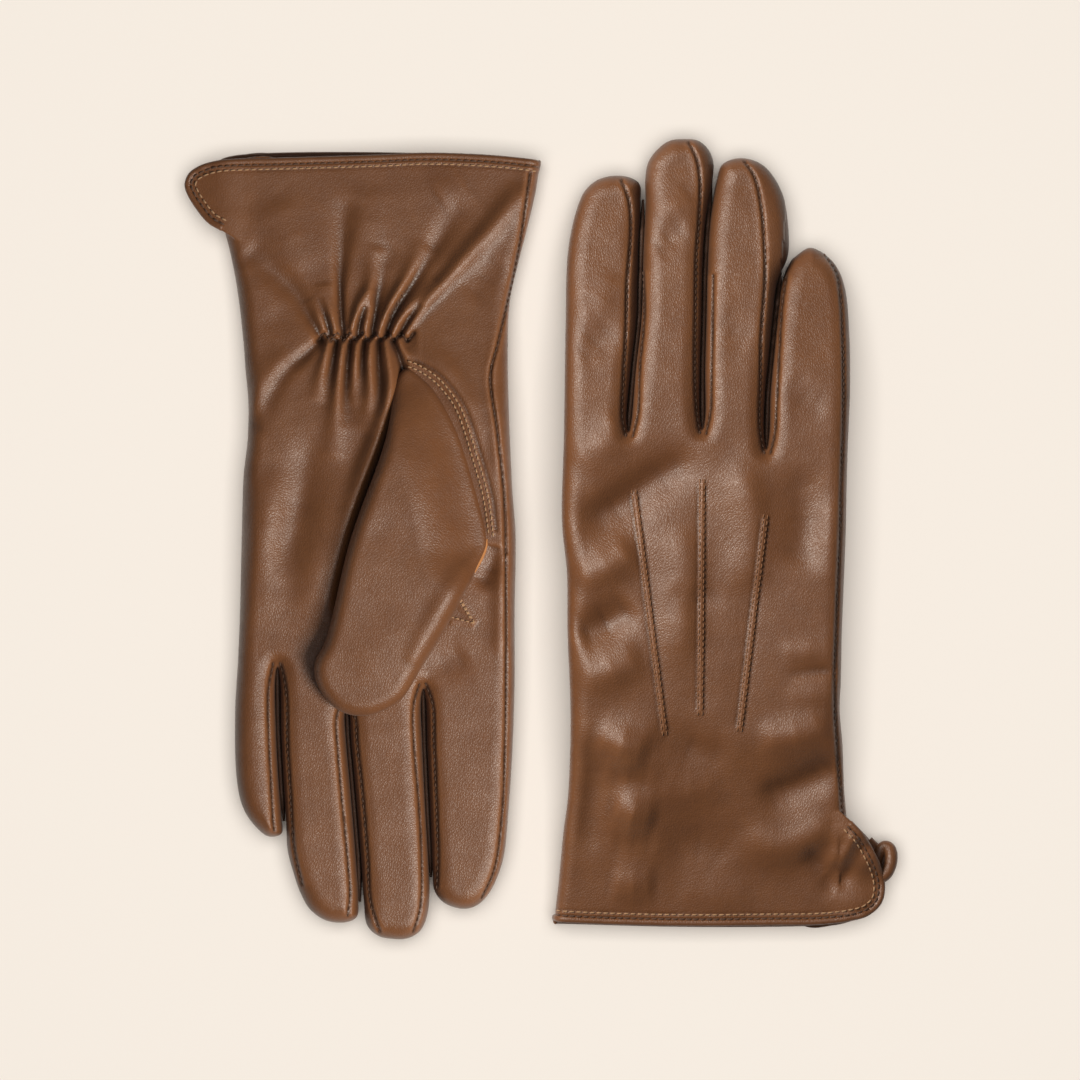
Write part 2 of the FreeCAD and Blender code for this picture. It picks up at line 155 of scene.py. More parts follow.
# ---- height fields ------------------------------------------------------------------------------
class Field:
    """A grid over (u, v) that height details are added to."""

    def __init__(self, u0, u1, v0, v1):
        self.u = np.arange(u0, u1 + STEP / 2, STEP)
        self.v = np.arange(v0, v1 + STEP / 2, STEP)
        self.U, self.V = np.meshgrid(self.u, self.v, indexing="ij")

    def within(self, outline):
        """Signed distance to a smooth closed outline, positive inside."""
        p = smooth_curve(outline, 0.4, closed=True)
        tree = KDTree(len(p))
        for i, (a, b) in enumerate(p):
            tree.insert((a, b, 0), i)
        tree.balance()
        q = np.stack([self.U.ravel(), self.V.ravel()], 1)
        idx = np.fromiter((tree.find((a, b, 0))[1] for a, b in q), int, len(q))
        best = np.full(len(q), 1e9)
        for shift in (-1, 0):
            a, b = p[(idx + shift) % len(p)], p[(idx + shift + 1) % len(p)]
            d = b - a
            t = np.clip(((q - a) * d).sum(1) / np.maximum((d * d).sum(1), 1e-12), 0, 1)
            best = np.minimum(best, np.linalg.norm(q - a - t[:, None] * d, axis=1))
        inside = np.zeros(self.U.shape, bool)
        a, b = p, np.roll(p, -1, axis=0)
        for j, y in enumerate(self.v):
            hit = (a[:, 1] > y) != (b[:, 1] > y)
            xs = np.sort(a[hit, 0] + (y - a[hit, 1]) * (b[hit, 0] - a[hit, 0]) / (b[hit, 1] - a[hit, 1]))
            inside[:, j] = np.searchsorted(xs, self.u) % 2 == 1
        return np.where(inside, 1, -1) * best.reshape(self.U.shape)

    def near(self, curve, reach):
        """The slices of the grid within reach of a curve."""
        lo, hi = curve.min(0) - reach, curve.max(0) + reach
        i0, i1 = np.searchsorted(self.u, [lo[0], hi[0]])
        j0, j1 = np.searchsorted(self.v, [lo[1], hi[1]])
        return slice(i0, i1), slice(j0, j1)

    def fold(self, height, points, amount, left, right=None, ends=(0.25, 0.25)):
        """A ridge (or a valley, if amount is negative) along a curve, each side with its own softness.
        amount and the softness may be lists of values spread along the curve."""
        right = left if right is None else right
        curve = smooth_curve(points, 1.5)
        widest = max(np.max(left), np.max(right))
        w = self.near(curve, 3 * widest)
        if w[0].start >= w[0].stop or w[1].start >= w[1].stop:
            return
        d, side, along = to_curve(self.U[w], self.V[w], curve)

        def spread(value):
            value = np.atleast_1d(value)
            return np.interp(along, np.linspace(0, 1, len(value)), value)

        soft = np.where(side > 0, spread(left), spread(right))
        taper = smoothstep(along / max(ends[0], 1e-6)) if ends[0] else 1.0
        taper = taper * (smoothstep((1 - along) / max(ends[1], 1e-6)) if ends[1] else 1.0)
        height[w] += spread(amount) * taper * np.exp(-((d / soft) ** 2))

    def seam(self, height, points, depth=0.55, puff=0.22, width=0.5, ends=(0.02, 0.02)):
        """A stitched seam: a narrow groove with the leather puffed up beside it."""
        self.fold(height, points, puff, 1.9, ends=ends)
        self.fold(height, points, -(depth + puff), width, ends=ends)

    def folds(self, height, rows, **more):
        for row in rows:
            self.fold(height, *row, **more)

    def read(self, grid, u, v):
        """The grid's value at any points."""
        x = np.clip((u - self.u[0]) / STEP, 0, len(self.u) - 1.001)
        y = np.clip((v - self.v[0]) / STEP, 0, len(self.v) - 1.001)
        i, j = x.astype(int), y.astype(int)
        fx, fy = x - i, y - j
        return (grid[i, j] * (1 - fx) * (1 - fy) + grid[i + 1, j] * fx * (1 - fy)
                + grid[i, j + 1] * (1 - fx) * fy + grid[i + 1, j + 1] * fx * fy)


class Form:
    """A flattened, rounded leather form: a middle surface, and how far it swells above and below."""

    def __init__(self, field, inside, middle, above, below, rim, power=2.2, flap_ridge=0.0):
        self.field, self.inside, self.middle = field, inside, middle
        self.above, self.below, self.rim, self.power = above, below, rim, power
        self.flap_ridge = flap_ridge

    def solid(self, zs, inset=0.0):
        """Positive inside, in millimetres or nearly so."""
        t = np.maximum(1 - (self.inside - inset) / self.rim, 0)[:, :, None]
        dz = zs[None, None, :] - self.middle[:, :, None]
        half = np.where(dz > 0, self.above[:, :, None], self.below[:, :, None]) - inset
        half = np.maximum(half, 0.2)
        r = (t**self.power + (np.abs(dz) / half) ** self.power) ** (1 / self.power)
        return (1 - r) * np.minimum(half, 6.0)

    def read(self, grid, u, v):
        return self.field.read(grid, u, v)

    def rim_share(self, u, v):
        """From 0 where the form is full to 1 at its outline."""
        return np.clip(1 - self.read(self.inside, u, v) / self.read(self.rim, u, v), 0, 1)

    def swell(self, u, v):
        return (1 - self.rim_share(u, v) ** self.power) ** (1 / self.power)

    def top(self, u, v):
        """Height of the upper surface."""
        return self.read(self.middle, u, v) + self.read(self.above, u, v) * self.swell(u, v)

    def low(self, u, v):
        """Height of the lower surface."""
        return self.read(self.middle, u, v) - self.read(self.below, u, v) * self.swell(u, v)


# ---- meshes -------------------------------------------------------------------------------------
CORNERS = [(i, j, k) for i in (0, 1) for j in (0, 1) for k in (0, 1)]
CELL_EDGES = [(a, b) for a in CORNERS for b in CORNERS if a < b and sum(abs(np.subtract(a, b))) == 1]


def skin(solid, field, zs):
    """The surface where solid passes through zero, as vertices and quads."""
    solid = solid.astype(np.float32)
    inside = solid > 0
    nx, ny, nz = solid.shape
    count = np.zeros((nx - 1, ny - 1, nz - 1), np.uint8)
    for i, j, k in CORNERS:
        count += inside[i:nx - 1 + i, j:ny - 1 + j, k:nz - 1 + k]
    active = (count > 0) & (count < 8)
    number = np.full(active.shape, -1, np.int64)
    cells = np.argwhere(active)
    number[active] = np.arange(len(cells))
    total = np.zeros((len(cells), 3))
    hits = np.zeros(len(cells))
    ci, cj, ck = cells.T
    for a, b in CELL_EDGES:
        fa = solid[ci + a[0], cj + a[1], ck + a[2]]
        fb = solid[ci + b[0], cj + b[1], ck + b[2]]
        cross = (fa > 0) != (fb > 0)
        t = np.where(cross, fa / np.where(cross, fa - fb, 1), 0)
        point = np.array(a)[None] + t[:, None] * (np.array(b) - np.array(a))[None]
        total += np.where(cross[:, None], point, 0)
        hits += cross
    verts = cells + total / hits[:, None]
    verts = np.stack([field.u[0] + verts[:, 0] * STEP, field.v[0] + verts[:, 1] * STEP,
                      zs[0] + verts[:, 2] * (zs[1] - zs[0])], 1)
    quads = []
    for axis in range(3):
        lead = [slice(None)] * 3
        lead[axis] = slice(0, -1)
        tail = [slice(None)] * 3
        tail[axis] = slice(1, None)
        first, second = inside[tuple(lead)], inside[tuple(tail)]
        change = np.argwhere(first != second)
        others = [k for k in range(3) if k != axis]
        ok = (change[:, others[0]] > 0) & (change[:, others[1]] > 0)
        ok &= (change[:, others[0]] < solid.shape[others[0]] - 1)
        ok &= (change[:, others[1]] < solid.shape[others[1]] - 1)
        change = change[ok]
        leaving = first[tuple(change.T)]
        around = []
        for da, db in ((1, 1), (0, 1), (0, 0), (1, 0)):
            c = change.copy()
            c[:, others[0]] -= da
            c[:, others[1]] -= db
            around.append(number[tuple(c.T)])
        q = np.stack(around, 1)
        flip = leaving if axis == 1 else ~leaving
        q[flip] = q[flip][:, ::-1]
        quads.append(q)
    return verts, np.vstack(quads)


def vertex_normals(verts, quads):
    """Unit normals, each the mean of its faces' normals weighted by area."""
    a = verts[quads[:, 2]] - verts[quads[:, 0]]
    b = verts[quads[:, 3]] - verts[quads[:, 1]]
    n = np.cross(a, b)
    out = np.zeros_like(verts)
    for k in range(4):
        np.add.at(out, quads[:, k], n)
    return out / np.maximum(np.linalg.norm(out, axis=1, keepdims=True), 1e-12)


def placed(glove, p):
    """From a glove's own millimetres to metres in the part's frame."""
    p = np.asarray(p, float)
    out = p.copy()
    if glove["turned"]:
        out[..., 0], out[..., 1] = -p[..., 0], -p[..., 1]
    out[..., 0] += glove["origin"][0]
    out[..., 1] += glove["origin"][1]
    return out * MM


def turned(glove, n):
    """Directions from a glove's own frame to the part's."""
    out = np.array(n, float)
    if glove["turned"]:
        out[..., :2] *= -1
    return out


def mesh_piece(name, verts, faces, material, normals=None, painted_shading=None):
    """A mesh object in the part's frame, with smooth shading."""
    mesh = bpy.data.meshes.new(name)
    faces = np.asarray(faces)
    mesh.vertices.add(len(verts))
    mesh.vertices.foreach_set("co", np.asarray(verts, np.float32).ravel())
    mesh.loops.add(faces.size)
    mesh.loops.foreach_set("vertex_index", faces.astype(np.int32).ravel())
    mesh.polygons.add(len(faces))
    mesh.polygons.foreach_set("loop_start", np.arange(0, faces.size, faces.shape[1], dtype=np.int32))
    mesh.update(calc_edges=True)
    mesh.validate()
    mesh.polygons.foreach_set("use_smooth", np.ones(len(mesh.polygons), bool))
    if normals is not None and len(mesh.polygons) == len(faces):
        mesh.normals_split_custom_set_from_vertices(np.asarray(normals, np.float32).tolist())
    # a per-vertex value of painted shade and painted highlight for the leather
    if painted_shading is not None:
        layer = mesh.attributes.new("painted_shading", "FLOAT", "POINT")
        layer.data.foreach_set("value", np.asarray(painted_shading, np.float32))
    obj = bpy.data.objects.new(name, mesh)
    bpy.context.scene.collection.objects.link(obj)
    obj.data.materials.append(material)
    return obj


def part_of(verts, quads, chosen, extras):
    """The chosen faces with their own vertices."""
    q = quads[chosen]
    used = np.unique(q)
    number = np.full(len(verts), -1)
    number[used] = np.arange(len(used))
    return verts[used], number[q], [e[used] for e in extras]


def tube(centre, half_width, half_height, sides=10, closed=False):
    """A tube of elliptical section along a line of points, as vertices and triangles."""
    centre = np.asarray(centre, float)
    n = len(centre)
    if closed:
        way = np.roll(centre, -1, axis=0) - np.roll(centre, 1, axis=0)
    else:
        way = np.gradient(centre, axis=0)
    way /= np.maximum(np.linalg.norm(way, axis=1, keepdims=True), 1e-9)
    side = np.cross(way, [0.0, 0.0, 1.0])
    side /= np.maximum(np.linalg.norm(side, axis=1, keepdims=True), 1e-9)
    up = np.cross(side, way)
    a = np.arange(sides) * 2 * math.pi / sides
    w = np.broadcast_to(half_width, (n,))[:, None, None]
    h = np.broadcast_to(half_height, (n,))[:, None, None]
    ring = (centre[:, None] + side[:, None] * np.cos(a)[None, :, None] * w
            + up[:, None] * np.sin(a)[None, :, None] * h)
    verts = ring.reshape(-1, 3)
    rows = n if closed else n - 1
    i = np.arange(rows)[:, None]
    j = np.arange(sides)[None]
    k = (i + 1) % n
    quads = np.stack([i * sides + j, i * sides + (j + 1) % sides,
                      k * sides + (j + 1) % sides, k * sides + j], -1).reshape(-1, 4)
    if closed:
        return verts, as_triangles(quads)
    caps = []
    for row, order in ((0, -1), (n - 1, 1)):
        loop = np.arange(row * sides, (row + 1) * sides)[::order]
        caps.append(np.stack([loop, np.roll(loop, -1), np.full(sides, len(verts))], 1))
        verts = np.vstack([verts, centre[row]])
    return verts, as_triangles(quads, np.vstack(caps))


def as_triangles(quads, triangles=None):
    """Quads cut in two, with any more triangles after them."""
    t = np.vstack([quads[:, [0, 1, 2]], quads[:, [0, 2, 3]]])
    return t if triangles is None else np.vstack([t, triangles])


class Pile:
    """Many small meshes gathered into one piece."""

    def __init__(self):
        self.verts, self.faces, self.count = [], [], 0

    def add(self, verts, triangles):
        self.verts.append(verts)
        self.faces.append(np.asarray(triangles) + self.count)
        self.count += len(verts)

    def piece(self, glove, name, material):
        verts = placed(glove, np.vstack(self.verts))
        return mesh_piece(name, verts, np.vstack(self.faces), material)


def stitch_shape(length, radius):
    """One stitch: a short rounded strand along x that dips at both ends."""
    s = np.linspace(-1, 1, 7)
    centre = np.stack([s * length / 2, 0 * s, radius * (0.75 - 1.5 * s**4)], 1)
    width = radius * np.sqrt(np.maximum(1 - (s * 0.93) ** 6, 0.05))
    return tube(centre, width, width * 0.85, sides=7)


def add_stitches(pile, form, points, spacing=2.1, length=1.5, radius=0.26, offset=0.0, lift=0.0, keep=None):
    """Stitches along a curve on the form's upper surface."""
    curve = smooth_curve(points, 0.6)
    if offset:
        way = np.gradient(curve, axis=0)
        way /= np.maximum(np.linalg.norm(way, axis=1, keepdims=True), 1e-9)
        curve = curve + offset * np.stack([-way[:, 1], way[:, 0]], 1)
    at, way = even(curve, spacing)
    if keep is not None:
        wanted = keep(at[:, 0], at[:, 1])
        at, way = at[wanted], way[wanted]
    if not len(at):
        return
    z = form.top(at[:, 0], at[:, 1])
    e = 0.6               # how far off the slope is read
    ahead = form.top(at[:, 0] + way[:, 0] * e, at[:, 1] + way[:, 1] * e)
    behind = form.top(at[:, 0] - way[:, 0] * e, at[:, 1] - way[:, 1] * e)
    left = form.top(at[:, 0] - way[:, 1] * e, at[:, 1] + way[:, 0] * e)
    right = form.top(at[:, 0] + way[:, 1] * e, at[:, 1] - way[:, 0] * e)
    x = np.stack([way[:, 0], way[:, 1], np.clip((ahead - behind) / (2 * e), -1.5, 1.5)], 1)
    y = np.stack([-way[:, 1], way[:, 0], np.clip((left - right) / (2 * e), -1.5, 1.5)], 1)
    x /= np.linalg.norm(x, axis=1, keepdims=True)
    up = np.cross(x, y)
    up /= np.linalg.norm(up, axis=1, keepdims=True)
    y = np.cross(up, x)
    verts, triangles = stitch_shape(length, radius)
    for i in range(len(at)):
        base = np.array([at[i, 0], at[i, 1], z[i] + lift])
        pile.add(base + verts[:, :1] * x[i] + verts[:, 1:2] * y[i] + verts[:, 2:] * up[i], triangles)


# ---- materials ----------------------------------------------------------------------------------
class Graph:
    """The nodes of one material, around its shader."""

    def __init__(self, name):
        self.material = bpy.data.materials.new(name)
        self.material.use_nodes = True
        self.nodes, self.links = self.material.node_tree.nodes, self.material.node_tree.links
        self.nodes.clear()
        out = self.nodes.new("ShaderNodeOutputMaterial")
        self.shader = self.nodes.new("ShaderNodeBsdfPrincipled")
        self.links.new(self.shader.outputs[0], out.inputs[0])
        self.coord = self.nodes.new("ShaderNodeTexCoord").outputs["Object"]

    def set(self, node, inputs):
        """Gives sockets their constants or their links."""
        for key, value in inputs.items():
            if isinstance(value, bpy.types.NodeSocket):
                self.links.new(value, node.inputs[key])
            else:
                node.inputs[key].default_value = value

    def add(self, kind, inputs, **options):
        node = self.nodes.new("ShaderNode" + kind)
        for key, value in options.items():
            setattr(node, key, value)
        self.set(node, inputs)
        return node

    def noise(self, scale, detail=3.0, rough=0.55):
        inputs = {"Vector": self.coord, "Scale": scale, "Detail": detail, "Roughness": rough}
        return self.add("TexNoise", inputs).outputs["Fac"]

    def map(self, value, low, high, to_low, to_high):
        inputs = {"Value": value, "From Min": low, "From Max": high, "To Min": to_low, "To Max": to_high}
        return self.add("MapRange", inputs).outputs["Result"]

    def mix(self, factor, a, b):
        a, b = ((*c, 1) if isinstance(c, tuple) else c for c in (a, b))
        return self.add("Mix", {"Factor": factor, "A": a, "B": b}, data_type="RGBA").outputs["Result"]

    def bump(self, height, strength, distance, under=None):
        node = self.add("Bump", {"Height": height, "Strength": strength, "Distance": distance})
        if under is not None:
            self.links.new(under, node.inputs["Normal"])
        return node.outputs[0]


def scaled(colour, factor):
    return tuple(min(1, factor * c) for c in colour)


def leather_material(name, base, light, deep, roughness=0.40):
    """Smooth dyed leather: fine grain and soft mottling, with painted shade and painted highlight laid on
    from a vertex attribute: darker in creases, paler on sharp ridges.
    """
    g = Graph(name)
    broad, cloudy, fine = g.noise(38.0, 4.0), g.noise(190.0, 4.0), g.noise(1500.0, 3.0, 0.6)
    colour = g.mix(g.map(broad, 0.3, 0.7, 0.0, 0.55), base, light)
    colour = g.mix(g.map(cloudy, 0.3, 0.75, 0.0, 0.35), colour, deep)
    colour = g.mix(g.map(fine, 0.35, 0.7, 0.0, 0.22), colour, deep)
    painted_shading = g.add("Attribute", {}, attribute_name="painted_shading").outputs["Fac"]
    # painted shade where the attribute is below zero, painted highlight where it is above
    colour = g.mix(g.map(painted_shading, 0.0, -1.0, 0.0, 0.85), colour, scaled(deep, 0.3))
    colour = g.mix(g.map(painted_shading, 0.0, 1.0, 0.0, 0.45), colour, scaled(light, 1.5))
    stretched = g.add("Mapping", {"Vector": g.coord, "Scale": (1.0, 0.8, 1.0)}).outputs[0]
    cells = g.add("TexVoronoi", {"Vector": stretched, "Scale": 1500.0}, feature="DISTANCE_TO_EDGE")
    grain = g.map(cells.outputs["Distance"], 0.0, 0.25, 0.0, 1.0)
    height = g.add("Math", {0: grain, 1: g.map(fine, 0.2, 0.8, 0.0, 0.9)}, operation="ADD")
    soft = g.bump(g.noise(300.0, 3.0, 0.5), 0.10, 0.0010)
    g.set(g.shader, {
        "Base Color": colour,
        "Roughness": g.map(cloudy, 0.2, 0.8, roughness - 0.05, roughness + 0.08),
        "Specular IOR Level": 0.5,
        "Sheen Weight": 0.06,
        "Sheen Roughness": 0.5,
        "Normal": g.bump(height.outputs[0], 0.34, 0.00014, soft),
    })
    return g.material


def thread_material(name, colour):
    """Twisted thread."""
    g = Graph(name)
    twist = g.add("TexWave", {"Vector": g.coord, "Scale": 900.0, "Distortion": 1.5})
    worn = g.map(g.noise(700.0), 0.3, 0.7, 0, 0.6)
    g.set(g.shader, {
        "Base Color": g.mix(worn, colour, scaled(colour, 0.55)),
        "Roughness": 0.7,
        "Sheen Weight": 0.2,
        "Normal": g.bump(twist.outputs["Fac"], 0.5, 0.0001),
    })
    return g.material


def knit_material(name, colour):
    """Knitted lining with fine ribs."""
    g = Graph(name)
    ribs = g.add("TexWave", {"Vector": g.coord, "Scale": 320.0, "Distortion": 2.0, "Detail": 2.0},
                 bands_direction="X").outputs["Fac"]
    g.set(g.shader, {
        "Base Color": g.mix(g.map(ribs, 0, 1, 0, 0.7), colour, scaled(colour, 0.5)),
        "Roughness": 0.9,
        "Sheen Weight": 0.3,
        "Normal": g.bump(ribs, 0.6, 0.0004),
    })
    return g.material


# each leather's base, its paler mottling and its darker mottling
BROWN = (0.146, 0.055, 0.019), (0.190, 0.078, 0.030), (0.096, 0.033, 0.010)
# the shaded leather is painted shade, for the gaps between the fingers
SHADED = (0.060, 0.024, 0.010), (0.075, 0.030, 0.013), (0.040, 0.015, 0.006)
RAW = (0.46, 0.19, 0.06), (0.55, 0.26, 0.09), (0.34, 0.13, 0.04)
MATERIALS = {
    "leather": leather_material("brown_leather", *BROWN),
    TAN: thread_material("tan_thread", (0.42, 0.24, 0.12)),
    DARK: thread_material("dark_thread", (0.085, 0.033, 0.012)),
    "thread_middle": thread_material("middle_thread", (0.24, 0.10, 0.035)),
    "lining": knit_material("knitted_lining", (0.10, 0.062, 0.040)),
    # painted shade: the dark leather down in the finger gaps
    "deep": leather_material("shaded_leather", *SHADED, roughness=0.6),
    "raw": leather_material("raw_edge_leather", *RAW, roughness=0.8),
}

# ---- the two gloves -----------------------------------------------------------------------------
LEFT = dict(
    name="left", turned=True, origin=(-50.05, 117.9), palm_up=True,
    outline=[
        (-49.4, -1), (-49.3, 7.6), (-46.9, 19.4), (-43.2, 34), (-40.8, 45.2), (-40.2, 59.7), (-40.8, 85.2),
        (-41.7, 103.7), (-42.6, 116.1), (-42.3, 140.9), (-42.3, 161.2), (-41.7, 180.3), (-40.5, 199.4),
        (-39.0, 214.3), (-36.9, 221.2), (-34.1, 226.4), (-30.5, 229.7), (-26.6, 230.6), (-20.8, 228.8),
        (-17.8, 225.0), (-17.2, 218), (-16.4, 200), (-15.5, 180), (-15.1, 166.5), (-14.4, 163.4),
        (-13.7, 166.5), (-14.1, 180), (-15.0, 200), (-15.9, 215), (-16.3, 226), (-15.4, 233.3),
        (-13.2, 237.6), (-9.3, 239.7), (-4.1, 239.7), (-0.5, 238.8), (2.8, 235.6), (3.8, 228), (4.7, 215),
        (6.3, 195), (7.8, 178), (8.2, 171), (8.9, 168), (9.6, 171), (9.3, 178), (7.8, 195), (6.2, 215),
        (5.4, 228), (5.9, 233), (8.6, 234.6), (14.9, 234.3), (20.1, 230.9), (23.1, 225.8), (25.5, 218.8),
        (27.1, 212.4), (27.5, 205), (28.4, 190), (29.1, 175), (29.4, 160), (30.1, 156.8), (30.8, 160),
        (30.6, 175), (29.9, 190), (28.9, 203), (28.9, 207.6), (32.8, 208.5), (36.5, 205.8), (40.4, 200.3),
        (42.5, 191.8), (43.1, 170.9), (42.2, 154.9), (41.6, 140.9), (41.0, 116.1), (40.4, 97.6),
        (39.3, 88.2), (39.0, 75.8), (39.8, 67.0), (40.7, 56.1), (42.5, 41.2), (44.6, 30.3), (46.6, 22),
        (47.6, 10), (48.0, -1)],
    cuff=[(-49.6, 2.2), (-40.8, 1.2), (-29.9, 0.4), (-15.1, 0.0), (-0.5, 0.6), (25.2, 1.4), (43.4, 1.9),
          (48.7, 2.4), (53.7, 3.8), (57.0, 6.0), (58.3, 9.1), (57.7, 11.9), (54.6, 17.0), (51.0, 21.2),
          (47.0, 23.6)],
    back_cuff=[(-49.2, 1.6), (-15, -0.6), (44, 0.2), (48.5, 1.8), (51.2, 5.0), (51.0, 10), (49.2, 17),
               (46.0, 23.6)],
    crotches=[(-14.4, 163.4), (8.9, 168.0), (30.1, 156.8)],
    strip_ends=(222, 229, 204),
    thumb_hinge=dict(across=(0.934, 0.358), at=(-19.3, 58.9), z=15.3, near=11, far=26),
    gaps=[[(-14.4, 150), (-14.4, 163), (-14.8, 180), (-15.7, 200), (-16.6, 215), (-17.0, 245)],
          [(8.9, 150), (8.9, 168), (8.5, 178), (7.0, 195), (5.4, 215), (4.6, 245)],
          [(30.1, 150), (30.1, 157), (29.9, 175), (29.1, 190), (28.2, 205), (28.0, 245)]],
    knuckles=dict(index=170.0, middle=174.0, ring=174.0, little=166.0),
)

RIGHT = dict(
    name="right", turned=False, origin=(50.05, -117.9), palm_up=False,
    outline=[
        (-45.4, -1), (-45.4, 3.6), (-44.3, 13.9), (-43, 28), (-41.5, 40.6), (-40.8, 64.8), (-41.7, 90),
        (-41.9, 108), (-43.4, 123.6), (-42.8, 149.7), (-42.3, 181.8), (-41.5, 206), (-38.9, 218.7),
        (-36.4, 224.5), (-32.5, 227.9), (-27.4, 229.2), (-22.4, 228.6), (-19.6, 226.6), (-19.3, 221),
        (-20.0, 207), (-20.7, 185), (-22.5, 169.5), (-23.8, 154), (-23.2, 150.8), (-22.4, 154),
        (-21.0, 169.5), (-19.2, 185), (-18.5, 207), (-17.8, 221), (-17.9, 227.5), (-17, 233.3),
        (-13.7, 237.7), (-10.2, 240), (-6, 240.4), (-1.9, 240), (1.2, 237.5), (2.9, 233.5), (2.7, 228),
        (0.4, 215), (-0.6, 199.7), (-1.0, 184.6), (-1.5, 169.4), (-1.5, 155), (-0.8, 151.6), (0.0, 155),
        (0.0, 169.4), (0.5, 184.6), (0.9, 199.7), (1.8, 215), (4.1, 228.5), (5.7, 232.7), (10.8, 234.6),
        (16.6, 233.3), (20.4, 230.1), (24.2, 223.1), (26.0, 210), (25.5, 204), (22.2, 196.5),
        (20.6, 184.6), (19.4, 173.3), (18.2, 161.8), (17.9, 149.5), (18.6, 145.6), (19.4, 149.5),
        (19.8, 161.8), (20.9, 173.3), (22.1, 184.6), (23.7, 196.5), (26.7, 203.3), (28.1, 204.6),
        (32.5, 207.2), (37.6, 204.6), (40.8, 200.8), (43, 194.4), (44, 181.6), (44, 162.5), (43.4, 148.5),
        (43, 136), (42.7, 120.6), (42.1, 105), (41.5, 89.7), (41.2, 75), (40.9, 66.4), (41.8, 55.8),
        (42.6, 41), (43.6, 31), (44, 20), (44, 10), (44, -1)],
    cuff=[(-45.6, 1.6), (-30, 0.9), (-5, 0.4), (20, 0.6), (35, 0.8), (44, 1.8), (50.2, 3.6), (54.0, 7.2),
          (55.1, 12), (54.2, 17), (51.8, 22.5), (48.4, 28.2), (44.4, 32.6)],
    back_cuff=[(-45.4, 0.4), (-5, -0.6), (30, -0.4), (42, 0.2), (48.6, 2.8), (52.4, 6.6), (54.2, 11),
               (55.2, 16), (52.8, 23), (48.0, 29), (43.8, 32.6)],
    crotches=[(-23.2, 150.8), (-0.8, 151.6), (18.6, 145.6)],
    strip_ends=(222, 229, 202),
    thumb_hinge=dict(across=(0.316, 0.949), at=(-16.0, 72.0), z=4.5, near=14, far=45),
    gaps=[[(-23.2, 140), (-23.1, 154), (-21.7, 169.5), (-20.0, 185), (-19.2, 207), (-18.6, 221),
           (-18.2, 245)],
          [(-0.8, 140), (-0.8, 155), (-0.8, 169.4), (-0.3, 184.6), (0.1, 199.7), (1.1, 215), (4, 245)],
          [(18.6, 140), (18.6, 149.5), (19.0, 161.8), (20.1, 173.3), (21.3, 184.6), (23, 196.5),
           (27, 245)]],
    knuckles=dict(index=170.0, middle=174.0, ring=174.0, little=166.0),
)
FINGERS = ("index", "middle", "ring", "little")

# the seams of each finger, from the tip to the crotch, where back or palm leather meets a side strip
LEFT["seams"] = dict(
    index=[[(-18.6, 224.5), (-19.0, 215), (-18.6, 200), (-17.8, 180), (-17.4, 168), (-15.0, 160.8)],
           [(-32.0, 227.6), (-36.2, 218), (-38.6, 200), (-39.4, 180), (-39.8, 150), (-39.6, 122)]],
    middle=[[(-11.2, 238.0), (-13.6, 230), (-14.0, 215), (-12.9, 195), (-11.7, 180), (-11.6, 168),
             (-13.6, 161.0)],
            [(-1.6, 238.2), (1.6, 228), (2.4, 215), (4.0, 195), (5.6, 180), (6.2, 172), (8.2, 165.4)]],
    ring=[[(8.6, 233.0), (7.8, 226), (8.6, 214), (10.4, 195), (11.6, 180), (11.9, 172), (9.8, 165.6)],
          [(22.2, 224.0), (24.8, 212), (25.9, 195), (26.8, 180), (27.3, 163), (29.2, 154.6)]],
    little=[[(30.8, 207.0), (31.2, 203), (31.9, 190), (32.5, 178), (32.6, 163), (31.0, 154.6)]])
RIGHT["seams"] = dict(
    index=[[(-25.7, 228.4), (-22.9, 220.9), (-22.4, 211.2), (-23.6, 195.9), (-24.0, 180.8), (-24.9, 165),
            (-25.2, 155), (-24.0, 148.6)]],
    middle=[[(-18.6, 200), (-18.4, 185), (-19.8, 170), (-20.4, 156), (-22.2, 148.4)],
            [(-5.4, 239.9), (-2.6, 234.6), (-1.4, 228.5), (-1.6, 216.4), (-2.6, 204), (-3.0, 184.6),
             (-3.2, 165.8), (-2.6, 156), (-1.6, 149.4)]],
    ring=[[(2.6, 199), (2.3, 184), (1.9, 168), (1.6, 157), (0.0, 149.2)],
          [(11.5, 234.0), (15.2, 228.5), (17.2, 219.4), (18.1, 207.3), (18.2, 196.1), (17.0, 180.9),
           (16.6, 165.8), (16.4, 152), (17.8, 143.4)]],
    little=[[(25.2, 199), (23.7, 190), (22.5, 175), (21.6, 160), (21.0, 150), (19.4, 143.4)],
            [(36.2, 205.6), (40.0, 199.7), (41.2, 192.1), (41.7, 177), (41.6, 154.3), (41.1, 139.1),
             (40.6, 120), (39.6, 95), (39.0, 70), (40.4, 50), (42.2, 32)]])

LEFT_SIDE_SEAM = [(-47.0, 6), (-43.5, 30.0), (-37.4, 57.3), (-34.9, 67.9), (-37.0, 84.6), (-39.2, 105),
                  (-39.6, 122)]
GATHER = dict(u0=-11.6, u1=17.6, v=55.8, pleats=8)
THUMB = [(-9.6, 65.6), (-7.2, 67.6), (-3.2, 87.6), (7.4, 117.9), (14.9, 148.2), (18.0, 154.6),
         (18.2, 159.0), (16.5, 163.6), (11.9, 168.9), (7.4, 170.9), (3.5, 171.2), (-0.2, 170.6),
         (-7.8, 166.4), (-13.8, 157.3), (-22.9, 142.1), (-31.0, 126.4), (-34.0, 119.6), (-33.8, 115.4),
         (-31.4, 105.4), (-28.8, 96.2), (-25.2, 85.3), (-20.4, 75.8), (-15.6, 69.6)]
THUMB_SEAM = [(-9.4, 65.6), (-15.6, 69.6), (-20.4, 75.8), (-25.2, 85.3), (-28.8, 96.2), (-31.4, 105.4),
              (-34.0, 118.4)]
